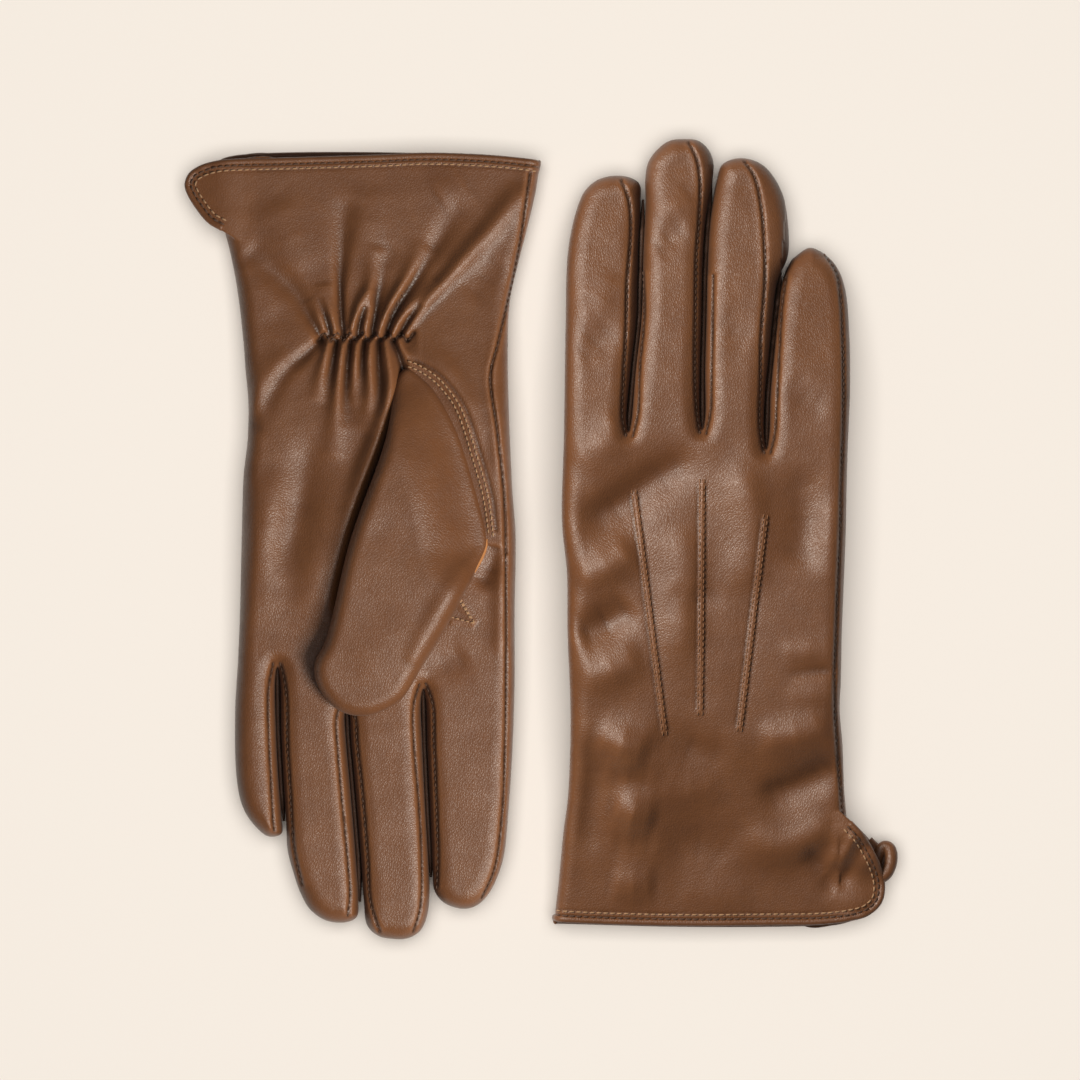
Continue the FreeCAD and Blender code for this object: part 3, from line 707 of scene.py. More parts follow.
THUMB_ROWS = [[(-9.6, 63.4), (-13.2, 64.8), (-18.4, 68.1), (-22.6, 72.6), (-26.2, 78.2), (-31.0, 92.7),
               (-34.3, 104.8), (-35.9, 117.0)],
              [(-9.6, 65.0), (-12.6, 66.2), (-17.4, 69.2), (-21.4, 73.4), (-24.9, 78.8), (-29.6, 93.1),
               (-32.9, 105.2), (-34.5, 116.0)]]
QUIRK = [(-22.4, 131.8), (-30.6, 143.8)], [(-30.6, 143.8), (-22.6, 142.4)]
QUIRK_STITCHES = [[(-23.4, 131.6), (-30.2, 143.2)], [(-30.2, 143.2), (-22.6, 141.2)],
                  [(-24.6, 134.6), (-29.0, 141.8)]]
RAW_EDGE = [(-34.0, 117.6), (-32.6, 122.4), (-29.8, 127.6)]
POINTS = [[(-21.7, 133.4), (-12.3, 58.5)], [(-1.1, 136.7), (-1.7, 64.6)], [(18.0, 125.8), (10.1, 59.7)]]


def sheet_flap(field, zs, outline, height):
    """A flat sheet of leather within an outline, at a height that may vary."""
    slab = LEATHER / 2 - np.abs(zs[None, None, :] - height[:, :, None])
    return np.minimum(slab, field.within(outline)[:, :, None])


# thickness of the left glove along the hand
LEFT_HIGH = [(-5, 9.6), (0, 9.8), (25, 10.6), (45, 11.4), (60, 13), (85, 15), (123, 15), (150, 14.2),
             (175, 13.6), (215, 13.2), (243, 12.4)]


# ridges and hollows: points, heights along them, softness on the left and the right, faded ends
LEFT_FOLDS = [
    # the cuff's broad soft swells above the gathers
    ([(6, 34), (3, 20), (2, 8)], [0.2, 0.9, 0.4], 6.0),
    ([(20, 40), (26, 26), (32, 12)], [0.3, 1.1, 0.6], 6.5),
    ([(40, 30), (36, 42), (30, 52)], [0.3, 0.8, 0.3], 5.5),
    ([(-28, 46), (-33, 38), (-38, 30)], [-0.3, -0.9, -0.3], 5.0),
    ([(-18, 14), (-28, 8)], [0.6, 0.4], 6.0),
    # the palm below them
    ([(24, 60), (33, 71), (40, 82)], 1.0, 4.5),
    ([(7, 90), (11.5, 108), (18, 128), (24, 148)], [0.5, 1.6, 1.8, 0.6], 4.6, 5.5),
    ([(19, 82), (23, 106), (29, 132)], [-0.6, -1.7, -0.7], 4.6),
    ([(31, 92), (33, 112), (35, 136)], [0.4, 1.2, 0.5], 4.6),
    ([(-12, 56), (-18, 62), (-28, 76), (-34, 94)], [0.5, 1.2, 1.0, 0.5], 3.6),
    ([(30, 96), (33, 120), (34, 148)], 0.8, 7.0),
    # hollow beside the thumb's root, and the index side
    ([(-37.0, 119), (-34.6, 127), (-31, 134)], [-0.6, -1.7, -0.8], 3.0, 4.0, (0.1, 0.3)),
    ([(-38.6, 124), (-38.6, 140), (-38.2, 156)], 0.9, 2.8),
    ([(-29, 152), (-20, 156), (-12, 158)], [-0.5, -0.9, -0.5], 5),
    ([(-36, 70), (-37.5, 84), (-38.4, 100)], 0.5, 3.0),
]


def make_left():
    """Palm up: the gathered wrist, the palm, the folded thumb."""
    f = Field(-54, 62, -5, 243)
    U, V = f.U, f.V
    inside = f.within(LEFT["outline"])
    high = ramp(V, LEFT_HIGH)
    middle = 0.46 * high
    above = high - middle
    detail = np.zeros_like(U)
    gather(f, detail)
    f.folds(detail, LEFT_FOLDS)
    fingers_detail(f, detail, LEFT)
    f.seam(detail, LEFT_SIDE_SEAM, 0.9, 0.35, 0.55, ends=(0, 0))
    f.fold(detail, THUMB_ROWS[0], 0.35, 1.6, ends=(0.02, 0.02))
    f.fold(detail, [(a - 1.1, b - 0.5) for a, b in THUMB_ROWS[0]], -0.5, 0.7, ends=(0.03, 0.03))
    for line in QUIRK:
        f.fold(detail, line, 0.35, 1.2, ends=(0.05, 0.05))
    cuff_hem(f, detail, LEFT["cuff"])
    detail += ripple(U, V, 3.0) * smoothstep(inside / 6) * 0.16
    rim = ramp(V, [(0, 4.5), (60, 5.5), (150, 6.0), (165, 6.4), (243, 6.4)])
    return Form(f, inside, middle, above + detail, middle + 0.0, rim), detail


# ridges and hollows that run out of the gathered wrist: points, heights, softness along each
GATHER_ABOVE = [
    ([(15.6, 55.0), (17.0, 50), (20, 44)], [1.2, 0.9, 0.2], [1.0, 1.8, 3.0]),
    ([(11.9, 55.6), (13.2, 50.5), (14.9, 45.0), (16.0, 39)], [1.9, 1.6, 1.0, 0.3], [0.95, 1.5, 2.4, 3.2]),
    ([(7.7, 55.6), (6.4, 51), (4.3, 45.9), (0.6, 39.1), (-1, 27)],
     [1.9, 2.0, 1.8, 1.2, 0.4], [0.95, 1.4, 2.1, 3.0, 4.5]),
    ([(3.4, 55.6), (2.6, 51), (1.4, 45.9), (0.8, 41)], [1.8, 1.4, 0.8, 0.2], [0.9, 1.2, 1.6, 2.0]),
    ([(-0.8, 55.6), (-2.4, 51), (-4.8, 45.9), (-10.8, 36.8), (-17, 27)],
     [1.9, 2.0, 1.8, 1.2, 0.3], [0.95, 1.3, 1.9, 2.9, 4.0]),
    ([(-5.0, 55.6), (-7.4, 51), (-10.8, 46.7), (-13.8, 43.7), (-19, 38)],
     [1.8, 1.6, 1.2, 0.8, 0.2], [0.9, 1.2, 1.7, 2.2, 3.0]),
    ([(-9.4, 55.2), (-13.6, 48.2), (-25.2, 34.6), (-36.6, 21.7), (-47.4, 8.0)],
     [1.0, 1.9, 2.3, 2.1, 1.0], [1.0, 2.0, 3.0, 3.4, 3.8]),
    ([(17.6, 54.6), (24.8, 42.2), (40.7, 28.5)], [-1.2, -1.4, -0.5], [1.6, 3.6, 5.0]),
    ([(14.0, 55.4), (15.2, 50), (17.6, 43)], [-1.3, -1.0, -0.2], [0.8, 1.2, 2.0]),
    ([(9.8, 55.8), (10.4, 50), (10.8, 39.1), (8.9, 11.9)],
     [-1.9, -1.9, -1.5, -0.5], [0.85, 1.4, 2.8, 4.5]),
    ([(5.5, 55.8), (4.4, 50.5), (3.0, 46)], [-1.7, -1.2, -0.3], [0.75, 0.9, 1.2]),
    ([(1.3, 55.8), (0.2, 49.7), (-1, 41), (-2.0, 34), (-6.3, 27)],
     [-1.8, -1.7, -1.4, -1.0, -0.3], [0.85, 1.2, 2.0, 2.6, 3.6]),
    ([(-3.0, 55.8), (-5.2, 49.7), (-12, 38.5), (-21.4, 23), (-27.5, 13)],
     [-1.8, -1.8, -1.7, -1.2, -0.5], [0.85, 1.3, 2.2, 3.4, 4.5]),
    ([(-7.2, 55.6), (-10.2, 50.8), (-14.6, 45.6)], [-1.5, -1.1, -0.4], [0.75, 1.0, 1.5]),
]
GATHER_BELOW = [
    ([(14.2, 57.0), (15.2, 62), (16.5, 68.7), (18, 77)], [1.6, 1.4, 0.9, 0.2], [0.95, 1.5, 2.2, 3.0]),
    ([(9.7, 57.0), (10.4, 63), (11.2, 72), (11.9, 83.8), (13, 96)],
     [1.7, 1.7, 1.5, 1.0, 0.3], [1.0, 1.5, 2.3, 3.2, 4.2]),
    ([(5.5, 57.0), (6.0, 63), (6.4, 71), (6.8, 79)], [1.7, 1.3, 0.6, 0.0], [0.9, 1.3, 2.0, 2.8]),
    ([(1.4, 57.0), (1.8, 64), (1.4, 74), (3, 87)], [1.7, 1.5, 1.1, 0.3], [0.95, 1.5, 2.4, 3.6]),
    ([(-2.8, 57.0), (-3.9, 63), (-4.6, 71), (-2.0, 84), (3.0, 98), (8.5, 116), (13.5, 136), (17.5, 152)],
     [1.5, 2.3, 2.7, 2.7, 2.4, 1.9, 1.2, 0.3], [1.0, 1.9, 2.7, 3.1, 3.5, 3.8, 4.0, 4.5]),
    ([(-7.0, 56.8), (-8.4, 60.5), (-10.5, 63.0)], [1.5, 1.0, 0.2], [0.9, 1.2, 1.6]),
    ([(11.9, 57.0), (12.8, 63), (13.8, 70), (14.8, 80)], [-1.6, -1.1, -0.5, 0.0], [0.8, 1.2, 1.8, 2.6]),
    ([(7.6, 57.0), (8.4, 63), (8.9, 73), (9.2, 85)], [-1.8, -1.5, -0.9, 0.0], [0.8, 1.2, 1.9, 3.0]),
    ([(3.4, 57.0), (4.0, 62), (4.0, 68), (4.4, 76)], [-1.7, -1.2, -0.5, 0.0], [0.8, 1.1, 1.6, 2.2]),
    ([(-0.8, 57.0), (-1.0, 63), (-1.4, 72), (-0.6, 82)], [-1.7, -1.3, -0.8, 0.0], [0.8, 1.1, 1.8, 2.6]),
    ([(-4.9, 57.0), (-7.2, 62), (-8.6, 70), (-5.8, 82), (-1.4, 95), (3.8, 109), (9.2, 128), (13.4, 146)],
     [-1.6, -2.6, -3.2, -3.2, -2.9, -2.3, -1.5, -0.4], [0.85, 1.5, 2.0, 2.0, 2.0, 2.0, 2.0, 2.0]),
    ([(16.6, 57.0), (20.6, 61), (27.8, 67.5), (38.6, 86.5)],
     [-1.3, -1.5, -1.4, -0.7], [1.2, 2.4, 3.2, 3.6]),
]


def gather_line():
    """The zigzag of the elastic's stitches over the pleats."""
    u0, u1, v0, last = GATHER["u0"], GATHER["u1"], GATHER["v"], 2 * GATHER["pleats"] - 1
    return [(u0 + (u1 - u0) * k / last, v0 + (1.3 if k % 2 else -0.9)) for k in range(last + 1)]


def gather(f, detail):
    """Pleats drawn in by the elastic at the wrist, fading into the cuff and the palm."""
    f.folds(detail, GATHER_ABOVE + GATHER_BELOW, ends=(0.0, 0.12))
    zigzag = gather_line()
    for a, b in zip(zigzag[:-1], zigzag[1:]):
        f.fold(detail, [a, b], -1.0, 0.55, ends=(0, 0))
    ends = [(GATHER["u0"] - 2, GATHER["v"]), (GATHER["u1"] + 2, GATHER["v"])]
    f.fold(detail, ends, -1.3, 4.0, ends=(0.1, 0.1))


def ripple(U, V, size):
    """Gentle unevenness of real leather, from a few fixed waves."""
    out = np.zeros_like(U)
    waves = [(1.0, 0.35, 0.3), (0.55, -0.83, 1.9), (0.2, 1.13, 4.1), (-0.9, 0.62, 2.7), (1.35, 0.9, 5.3),
             (-0.35, 1.6, 0.9)]
    for a, b, phase in waves:
        out += np.sin(a * U / size + 0.7 * np.sin(b * V / size * 0.6 + phase) + b * V / size + phase)
    return out / len(waves)


def fingers_detail(f, detail, glove):
    """The seams along the fingers."""
    for name in FINGERS:
        for line in glove["seams"].get(name, []):
            f.seam(detail, line, 0.75, 0.3, 0.5, ends=(0.02, 0.02))


def cuff_hem(f, detail, line):
    """The turned hem: a rounded outer band, a groove, and a second shallow row."""
    d = to_curve(f.U, f.V, smooth_curve(line, 0.8))[0]
    detail -= 0.30 * np.exp(-(((d - 1.95) / 0.45) ** 2))
    detail -= 0.18 * np.exp(-(((d - 3.5) / 0.5) ** 2))
    detail += 0.25 * np.exp(-(((d - 2.7) / 0.5) ** 2))


FINGER_DROPS = (0.166, 0.142, 0.156, 0.245)     # how steeply each right finger falls to its tip
# height of the right glove's underside along the hand, and its thickness
RIGHT_LOW = [(-5, 0), (0, 0), (10, 0.9), (22, 2.6), (42, 6.2), (60, 9.0), (80, 9.6), (150, 9.5),
             (170, 9.3)]
RIGHT_THICK = [(-5, 9.6), (0, 9.8), (22, 10.3), (42, 11.2), (60, 12.8), (85, 13.8), (150, 13.8),
               (175, 13.6), (215, 13.2), (243, 12.4)]
# as LEFT_FOLDS
RIGHT_FOLDS = [
    # dents and swells of the back
    ([(-43, 120), (-30, 126), (-14, 137), (2, 145)], [-1.6, -3.6, -3.2, -1.0], 5.6, 7.0),
    ([(-41, 140), (-30, 147), (-24, 157)], [1.0, 1.8, 1.0], 6.0),
    ([(-41, 106), (-32, 109), (-20, 116)], [1.0, 2.4, 1.2], 5.5),
    ([(-41, 88), (-32, 92), (-20, 99)], [-1.4, -3.2, -1.2], 5.2),
    ([(-40, 76), (-30, 78), (-18, 84)], [1.0, 2.2, 0.8], 5.5),
    ([(-25, 70), (-23, 50), (-22, 30), (-23, 10)], [0.4, 2.3, 2.4, 0.9], 11.0, 5.2),
    ([(-38, 62), (-34, 50), (-35, 34), (-36, 18)], [-0.5, -1.6, -1.5, -0.5], 4.2),
    ([(-35, 59), (-26, 56), (-16, 53)], [0.6, 2.0, 0.6], 5.5),
    ([(-31, 47), (-24, 45.5), (-15, 44)], [-0.3, -1.0, -0.3], 4.5),
    ([(-30, 37), (-22, 35), (-14, 33)], [0.6, 2.0, 0.6], 5.0),
    ([(-30, 25), (-22, 24.5), (-14, 24)], [-0.3, -0.9, -0.3], 4.5),
    ([(-30, 14), (-22, 13), (-14, 13)], [0.5, 1.7, 0.5], 5.2),
    ([(-10, 128), (-6, 112), (-7, 92), (-9, 74)], [0.6, 2.0, 2.2, 0.8], 6.0, 7.0),
    ([(-12, 104), (-4, 100), (6, 104)], [-0.2, -1.0, -0.3], 4.5),
    ([(6, 146), (12, 134), (14, 118), (11, 98)], [0.8, 2.2, 1.8, 0.8], 5.5, 6.5),
    ([(26, 142), (30, 126), (27, 106)], [-0.8, -2.0, -0.9], 6.0),
    ([(38, 134), (37, 118), (38, 100)], [0.4, 1.2, 0.4], 4.5),
    ([(13, 39), (26, 43), (36, 48), (43, 54)], [-0.6, -2.8, -3.0, -1.6], 4.6, 6.0),
    ([(14, 58), (28, 59), (39, 64)], [0.8, 2.2, 1.2], 5.5),
    ([(22, 77.0), (29, 77.8), (35, 78.4), (42, 77.6)], [0.0, -0.5, -0.8, -0.3], 2.0),
    ([(20, 83), (32, 84.5), (42, 84)], [0.1, 0.9, 0.3], 3.6),
    ([(22, 70), (33, 71), (42, 70)], [0.1, 0.7, 0.2], 3.8),
    ([(8, 30), (22, 25), (34, 29), (41, 37)], [0.4, 2.0, 2.2, 1.2], 5.5),
    ([(-14, 22), (-2, 26), (10, 20)], [-0.3, -1.2, -0.3], 6.5),
    ([(-10, 12), (2, 10), (16, 12)], [0.3, 0.9, 0.3], 6.0),
    ([(29, 25), (36, 18), (41, 8)], [-0.5, -1.8, -0.8], 3.6),
    ([(40.5, 33), (42, 25), (38, 19), (33, 13)], [1.4, 1.9, 1.2, 0.4], 2.2, 3.0),
    ([(-18, 62), (-4, 55), (10, 52)], [-0.6, -1.8, -0.5], 5.5),
    ([(-16, 45), (-4, 42), (6, 46)], [0.2, 1.0, 0.3], 5.5),
    # fingers: a few soft bends
    ([(-40, 184), (-32, 190), (-26, 200)], [0.3, 1.0, 0.3], 5.5),
    ([(-40, 172), (-34, 176), (-27, 184)], [-0.3, -0.9, -0.3], 5.0),
    ([(-17, 205), (-12, 209), (-5, 214)], [-0.4, -1.0, -0.3], 4.5),
    ([(-15, 215), (-10, 219), (-4, 224)], [0.3, 0.8, 0.2], 4.0),
    ([(3, 186), (8, 180), (14, 176)], [-0.2, -0.6, -0.2], 5.0),
    ([(24, 168), (30, 160), (38, 158)], [-0.2, -0.7, -0.3], 5.0),
]


def make_right():
    """Back up: three raised points, soft dents, and the thumb underneath."""
    f = Field(-50, 62, -5, 244)
    U, V = f.U, f.V
    inside = f.within(RIGHT["outline"])
    low = ramp(V, RIGHT_LOW)
    lowered = np.zeros_like(U)
    which = sum((U > gap_u(V, g)).astype(int) for g in RIGHT["gaps"])
    for k, slope in enumerate(FINGER_DROPS):
        blend = np.where(which == k, slope, 0)
        lowered += blend * np.log1p(np.exp((V - 166) / 3.0)) * 3.0
    thick = ramp(V, RIGHT_THICK)
    middle = np.maximum(low - lowered, 0) + 0.48 * thick
    above = 0.52 * thick
    detail = np.zeros_like(U)
    f.folds(detail, RIGHT_FOLDS)
    for line in POINTS:
        f.fold(detail, line, 0.55, 0.8, ends=(0.03, 0.03))
        for shift in (-1.2, 1.2):
            f.fold(detail, [(a + shift, b) for a, b in line], -0.18, 0.5, ends=(0.05, 0.05))
        f.fold(detail, line, -0.3, 4.5, ends=(0.1, 0.1))
    fingers_detail(f, detail, RIGHT)
    cuff_hem(f, detail, RIGHT["cuff"])
    detail += ripple(U + 31, V + 17, 3.2) * smoothstep(inside / 6) * 0.16
    rim = ramp(V, [(0, 4.0), (60, 5.6), (150, 6.2), (170, 6.4), (244, 6.4)])
    return Form(f, inside, middle, above + detail, 0.48 * thick, rim, flap_ridge=0.9), detail


def gap_u(V, line):
    """The u of a finger gap at each v."""
    pts = np.array(line)
    return np.interp(V, pts[:, 1], pts[:, 0])


def creases(detail):
    """From -1 in a groove to 1 on a sharp ridge."""
    blur = detail.copy()
    for _ in range(6):
        sides = [np.roll(blur, step, axis) for axis in (0, 1) for step in (1, -1)]
        blur = (blur + sides[0] + sides[1] + sides[2] + sides[3]) / 5
    return np.clip((detail - blur) * 3.2, -1, 1)


FLAP_START = 38.5         # beyond this u the cuff's edge runs on into its flap
FLAP_ROOT = 30.0          # the flap's sheet starts at this u, within the cuff
FLAP_TRIM = 34.0          # its outline follows the cuff's line from this u
BODY_ENDS = 47.0, 45.0    # the cuff's and the back cuff's lines run along the hand up to this u
VENT_SEAM = 42.0, 40.5    # u of the vent's opening at the cuff's edge and at its inner end
CUFF_DEPTH = 50.0         # the cuff is hollow up to this v
SMOOTH_SHARE = 0.75       # within this share of the rim the faces are smooth


def flap_fold(form, u, v):
    """A slanting ridge across the flap, with a hollow beside it."""
    across = 0.84 * (u - 42.0) - 0.54 * (v - 22.5)
    along = 0.54 * (u - 42.0) + 0.84 * (v - 22.5)
    ridge = np.exp(-((across / 1.7) ** 2)) - np.exp(-(((across - 4.5) / 2.4) ** 2))
    return form.flap_ridge * ridge * smoothstep((along + 10) / 4) * smoothstep((9 - along) / 4)


def flap_height(form, u, v, on_top):
    """Height of the middle of the leather in the cuff's flaps."""
    base = (form.top if on_top else form.low)(np.minimum(u, FLAP_START), v)
    past = np.maximum(u - FLAP_START, 0)
    if not on_top:
        return base + LEATHER / 2
    sag = 0.007 * past**2 - 0.5 * np.exp(-(((past - 8) / 5) ** 2)) * smoothstep(past / 4)
    folded = flap_fold(form, u, v) * smoothstep(past / 6)
    return np.maximum(base - LEATHER / 2 - sag + folded, 2.6)


class CuffFace:
    """The visible face of the cuff and its flap, for laying trim on."""

    def __init__(self, form, on_top):
        self.form, self.on_top = form, on_top

    def top(self, u, v):
        plain = (self.form.top if self.on_top else self.form.low)(u, v)
        half = LEATHER / 2 if self.on_top else -LEATHER / 2
        flap = flap_height(self.form, u, v, self.on_top) + half
        return np.where(u < FLAP_START, plain, flap)


def body_line(line, end=BODY_ENDS[0]):
    """The part of a cuff's line that runs along the hand, without its flap."""
    return np.array([p for p in line if p[0] < end])


def line_at(line, u):
    """The v of a cuff's line at a u."""
    return float(np.interp(u, *body_line(line).T))


def hand_solid(glove, form, zs):
    """The hollow hand and cuff with both of its flaps."""
    field = form.field
    # the cuff's edge, cut along the palm's and the back's own lines
    edge, lower_edge = (
        (field.V - np.interp(field.U, *body_line(line, end).T))[:, :, None]
        for line, end in zip((glove["cuff"], glove["back_cuff"]), BODY_ENDS)
    )
    cut = np.where(zs[None, None, :] > form.middle[:, :, None], edge, lower_edge)
    hollow = np.minimum(form.solid(zs, LEATHER), (CUFF_DEPTH - field.V)[:, :, None])
    # the vent: the tube is open along the little-finger side
    vent_v = glove["cuff"][-1][1]
    seam_u = np.interp(field.V, [0, vent_v], VENT_SEAM)
    vent = np.minimum(field.U - seam_u, vent_v - 1.0 - field.V)
    solid = np.minimum(form.solid(zs), cut)
    solid = np.minimum(solid, -hollow)
    solid = np.minimum(solid, -np.minimum(vent, 3.0)[:, :, None])
    for line, on_top in ((glove["cuff"], True), (glove["back_cuff"], False)):
        root = (FLAP_ROOT, line_at(line, FLAP_ROOT) + 0.6)
        shoulder = [(36.0, vent_v + 6), (FLAP_ROOT, vent_v + 6)]
        outline = [root, *[p for p in line if p[0] > FLAP_TRIM], *shoulder]
        flap = sheet_flap(field, zs, outline, flap_height(form, field.U, field.V, on_top))
        solid = np.maximum(solid, np.minimum(flap, 2.0))
    return solid


def settle(form, verts, smooth, height, upper):
    """Moves one face's smooth vertices onto the exact surface, and says which they are."""
    u, v, z = verts.T
    mid = form.read(form.middle, u, v)
    near = smooth & (np.abs(z - height) < 0.6) & (z > mid if upper else z < mid)
    verts[near, 2] = height[near]
    return near


def facing_out(verts, quads, on_top):
    """The faces and normals, turned over where the upper side would face down."""
    normals = vertex_normals(verts, quads)
    if normals[on_top][:, 2].mean() < 0:
        return quads[:, ::-1], -normals
    return quads, normals


def build_hand(glove, form, detail):
    """The hand's leather, split at the knuckles into the hand and its fingers."""
    zs = np.arange(-1.0, form.middle.max() + form.above.max() + 1.5, STEP)
    verts, quads = skin(hand_solid(glove, form, zs), form.field, zs)
    u, v, z = verts.T
    vent_v = glove["cuff"][-1][1]
    t = form.rim_share(u, v)
    smooth = (t < SMOOTH_SHARE) & (v > vent_v + 3)
    on_top = settle(form, verts, smooth, form.top(u, v), True)
    settle(form, verts, smooth, form.low(u, v), False)
    # painted shade in creases and painted highlight on sharp ridges, on the upper face
    painted_shading = form.read(creases(detail), u, v) * (z > form.read(form.middle, u, v))
    # painted shade along the outline, stronger towards the fingers
    rim_painted_shade = np.clip((t - 0.7) / 0.3, 0, 1) * ramp(v, [(-5, 0.3), (120, 0.35), (150, 0.6), (244, 0.6)])
    # on the flap the crease and outline shade give way to a painted highlight
    on_flap = smoothstep((u - 35) / 4) * smoothstep((vent_v + 9 - v) / 6)
    painted_shading = np.clip((painted_shading - rim_painted_shade) * (1 - on_flap) + 0.3 * on_flap, -1, 1)
    quads, normals = facing_out(verts, quads, on_top)
    corners = verts[quads]
    face_u, face_v = corners[:, :, 0].mean(axis=1), corners[:, :, 1].mean(axis=1)
    lowest_v = corners[:, :, 1].min(axis=1)
    which = sum((face_u > gap_u(face_v, g)).astype(int) for g in glove["gaps"])
    chosen = {n: (which == k) & (lowest_v > glove["knuckles"][n]) for k, n in enumerate(FINGERS)}
    chosen["hand"] = ~np.any(list(chosen.values()), axis=0)
    out, world, normals = {}, placed(glove, verts), turned(glove, normals)
    for name, faces in chosen.items():
        p, q, (n, c) = part_of(world, quads, faces, [normals, painted_shading])
        out[name] = mesh_piece(f"{glove['name']}_{name}_leather", p, q, MATERIALS["leather"], n, c)
    return out


# ---- thumbs -------------------------------------------------------------------------------------
# as LEFT_FOLDS, for the left thumb
THUMB_FOLDS = [
    ([(-10, 68), (-15, 80), (-18, 96), (-18, 112)], [0.4, 1.0, 0.9, 0.3], 6.0),
    ([(-24, 122), (-10, 118), (2, 110)], [-0.3, -0.8, -0.3], 7.0),
    ([(-18, 141), (-4, 150), (8, 158)], [0.2, 0.6, 0.3], 7.0),
    ([(-28, 124), (-18, 141), (-10, 156)], [0.3, 0.7, 0.5], 2.6, None, (0.1, 0.1)),
]


def make_left_thumb():
    """Folded over the palm: it rises out of its seam and rests on the palm."""
    f = Field(-40, 24, 58, 177)
    U, V = f.U, f.V
    inside = f.within(THUMB)
    palm = ramp(V, LEFT_HIGH)
    d = to_curve(U, V, smooth_curve(THUMB_SEAM, 1.0))[0]
    risen = smoothstep(d / 21.0)
    height = ramp(V, [(60, 3.4), (75, 6.2), (100, 9.4), (130, 10.2), (150, 9.8), (172, 9.0)])
    middle = palm - 1.5 + (2.0 + 0.34 * height) * risen
    above = 2.5 + (0.66 * height - 2.5) * risen
    below = 0.34 * height + 1.0
    rim = 4.6 - 2.4 * smoothstep(1 - d / 12.0)
    detail = np.zeros_like(U)
    f.folds(detail, THUMB_FOLDS)
    detail += ripple(U + 7, V + 3, 3.1) * smoothstep(inside / 6) * 0.14
    return Form(f, inside, middle, above + detail, below, rim, 2.3), detail


def make_right_thumb():
    """Folded flat under the palm."""
    f = Field(-40, 24, 58, 177)
    U, V = f.U, f.V
    inside = f.within(THUMB)
    height = ramp(V, [(60, 6.5), (75, 8.6), (150, 9.4), (172, 7.2)])
    detail = ripple(U, V + 9, 3.0) * smoothstep(inside / 6) * 0.14
    rim = np.full_like(U, 5.2)
    return Form(f, inside, 0.48 * height, 0.52 * height + detail, 0.48 * height, rim), detail


def build_thumb(glove, form, detail):
    lowest = form.middle.min() - form.below.max() - 1
    zs = np.arange(lowest, (form.middle + form.above).max() + 1.5, STEP)
    verts, quads = skin(form.solid(zs), form.field, zs)
    u, v, z = verts.T
    on_top = settle(form, verts, form.rim_share(u, v) < SMOOTH_SHARE, form.top(u, v), True)
    # painted shade in creases and painted highlight on sharp ridges, on the upper face
    painted_shading = form.read(creases(detail), u, v) * (z > form.read(form.middle, u, v))
    quads, normals = facing_out(verts, quads, on_top)
    return mesh_piece(f"{glove['name']}_thumb_leather", placed(glove, verts), quads, MATERIALS["leather"],
                      turned(glove, normals), painted_shading)


# ---- stitching, edges and lining ----------------------------------------------------------------
def finger_of(glove, u, v):
    """Number of the finger a place belongs to, or -1 on the hand."""
    which = sum((u > gap_u(v, g)).astype(int) for g in glove["gaps"])
    knuckle = np.array([glove["knuckles"][n] for n in FINGERS])[which]
    return np.where(v > knuckle, which, -1)


def on_finger(glove, number):
    """A test for the places of one finger, or of the hand with -1."""
    return lambda u, v: finger_of(glove, u, v) == number


def stitch_seams(glove, form, piles):
    """Dark stitches along every finger seam, shared out among the bodies."""
    for k, name in enumerate(FINGERS):
        for line in glove["seams"].get(name, []):
            for body, number in (("hand", -1), (name, k)):
                add_stitches(piles[body], form, line, 1.95, 1.25, 0.2, lift=0.05,
                             keep=on_finger(glove, number))


def gap_strips(glove, form):
    """The side strip's edge down between each pair of fingers, a dark tube of painted shade that fills the
    gap.
    """
    out = {}
    rows = zip(FINGERS, glove["gaps"], glove["crotches"], glove["strip_ends"])
    for name, line, (_, crotch), end in rows:
        v = np.arange(crotch - 1.0, end, 1.5)
        u = gap_u(v, line)
        centre = np.column_stack([u, v, form.read(form.middle, u, v) - 1.2])
        taper = smoothstep((end - v) / 10.0) * 0.6 + 0.4
        out[name] = Pile()
        out[name].add(*tube(centre, 0.95 * taper, 2.6 * taper, sides=10))
    return out


def bind(pile, face, line, sign):
    """The rolled edge of the cuff along a line, on the upper or the lower face."""
    curve = smooth_curve(line, 0.8)
    way = np.gradient(curve, axis=0)
    way /= np.linalg.norm(way, axis=1, keepdims=True)
    curve = curve + 0.85 * np.stack([-way[:, 1], way[:, 0]], 1)
    z = np.maximum(face.top(curve[:, 0], curve[:, 1]) - sign * 0.3, 0.87)
    pile.add(*tube(np.column_stack([curve, z]), 1.05, 0.85, sides=12))


def lining_piece(glove, form):
    """The knitted lining inside the cuff, closed where it runs out of sight."""
    field = form.field
    near = Field(field.u[0], field.u[-1], field.v[0], field.v[np.searchsorted(field.v, 52.0)])
    grids = (form.inside, form.middle, form.above, form.below, form.rim)
    inner = Form(near, *[g[:, :len(near.v)] for g in grids])
    zs = np.arange(-1.0, inner.middle.max() + inner.above.max() + 1.0, STEP)

    def between(value):
        return value[:, :, None]

    core = np.minimum(inner.solid(zs, LEATHER + 0.6), between(CUFF_DEPTH - 1.0 - near.V))
    shell = np.minimum(inner.solid(zs, LEATHER - 0.1), -core)
    shell = np.minimum(np.minimum(shell, between(near.V - 5.5)), between(CUFF_DEPTH - near.V))
    shell = np.minimum(shell, -between(np.minimum(near.U - 40.0, 24.0 - near.V)))
    verts, quads = skin(shell, near, zs)
    u, v, z = verts.T
    on_top = z > field.read(form.middle + form.above, u, v) - 1.6
    quads, _ = facing_out(verts, quads, on_top)
    return mesh_piece(glove["name"] + "_lining", placed(glove, verts), quads, MATERIALS["lining"])


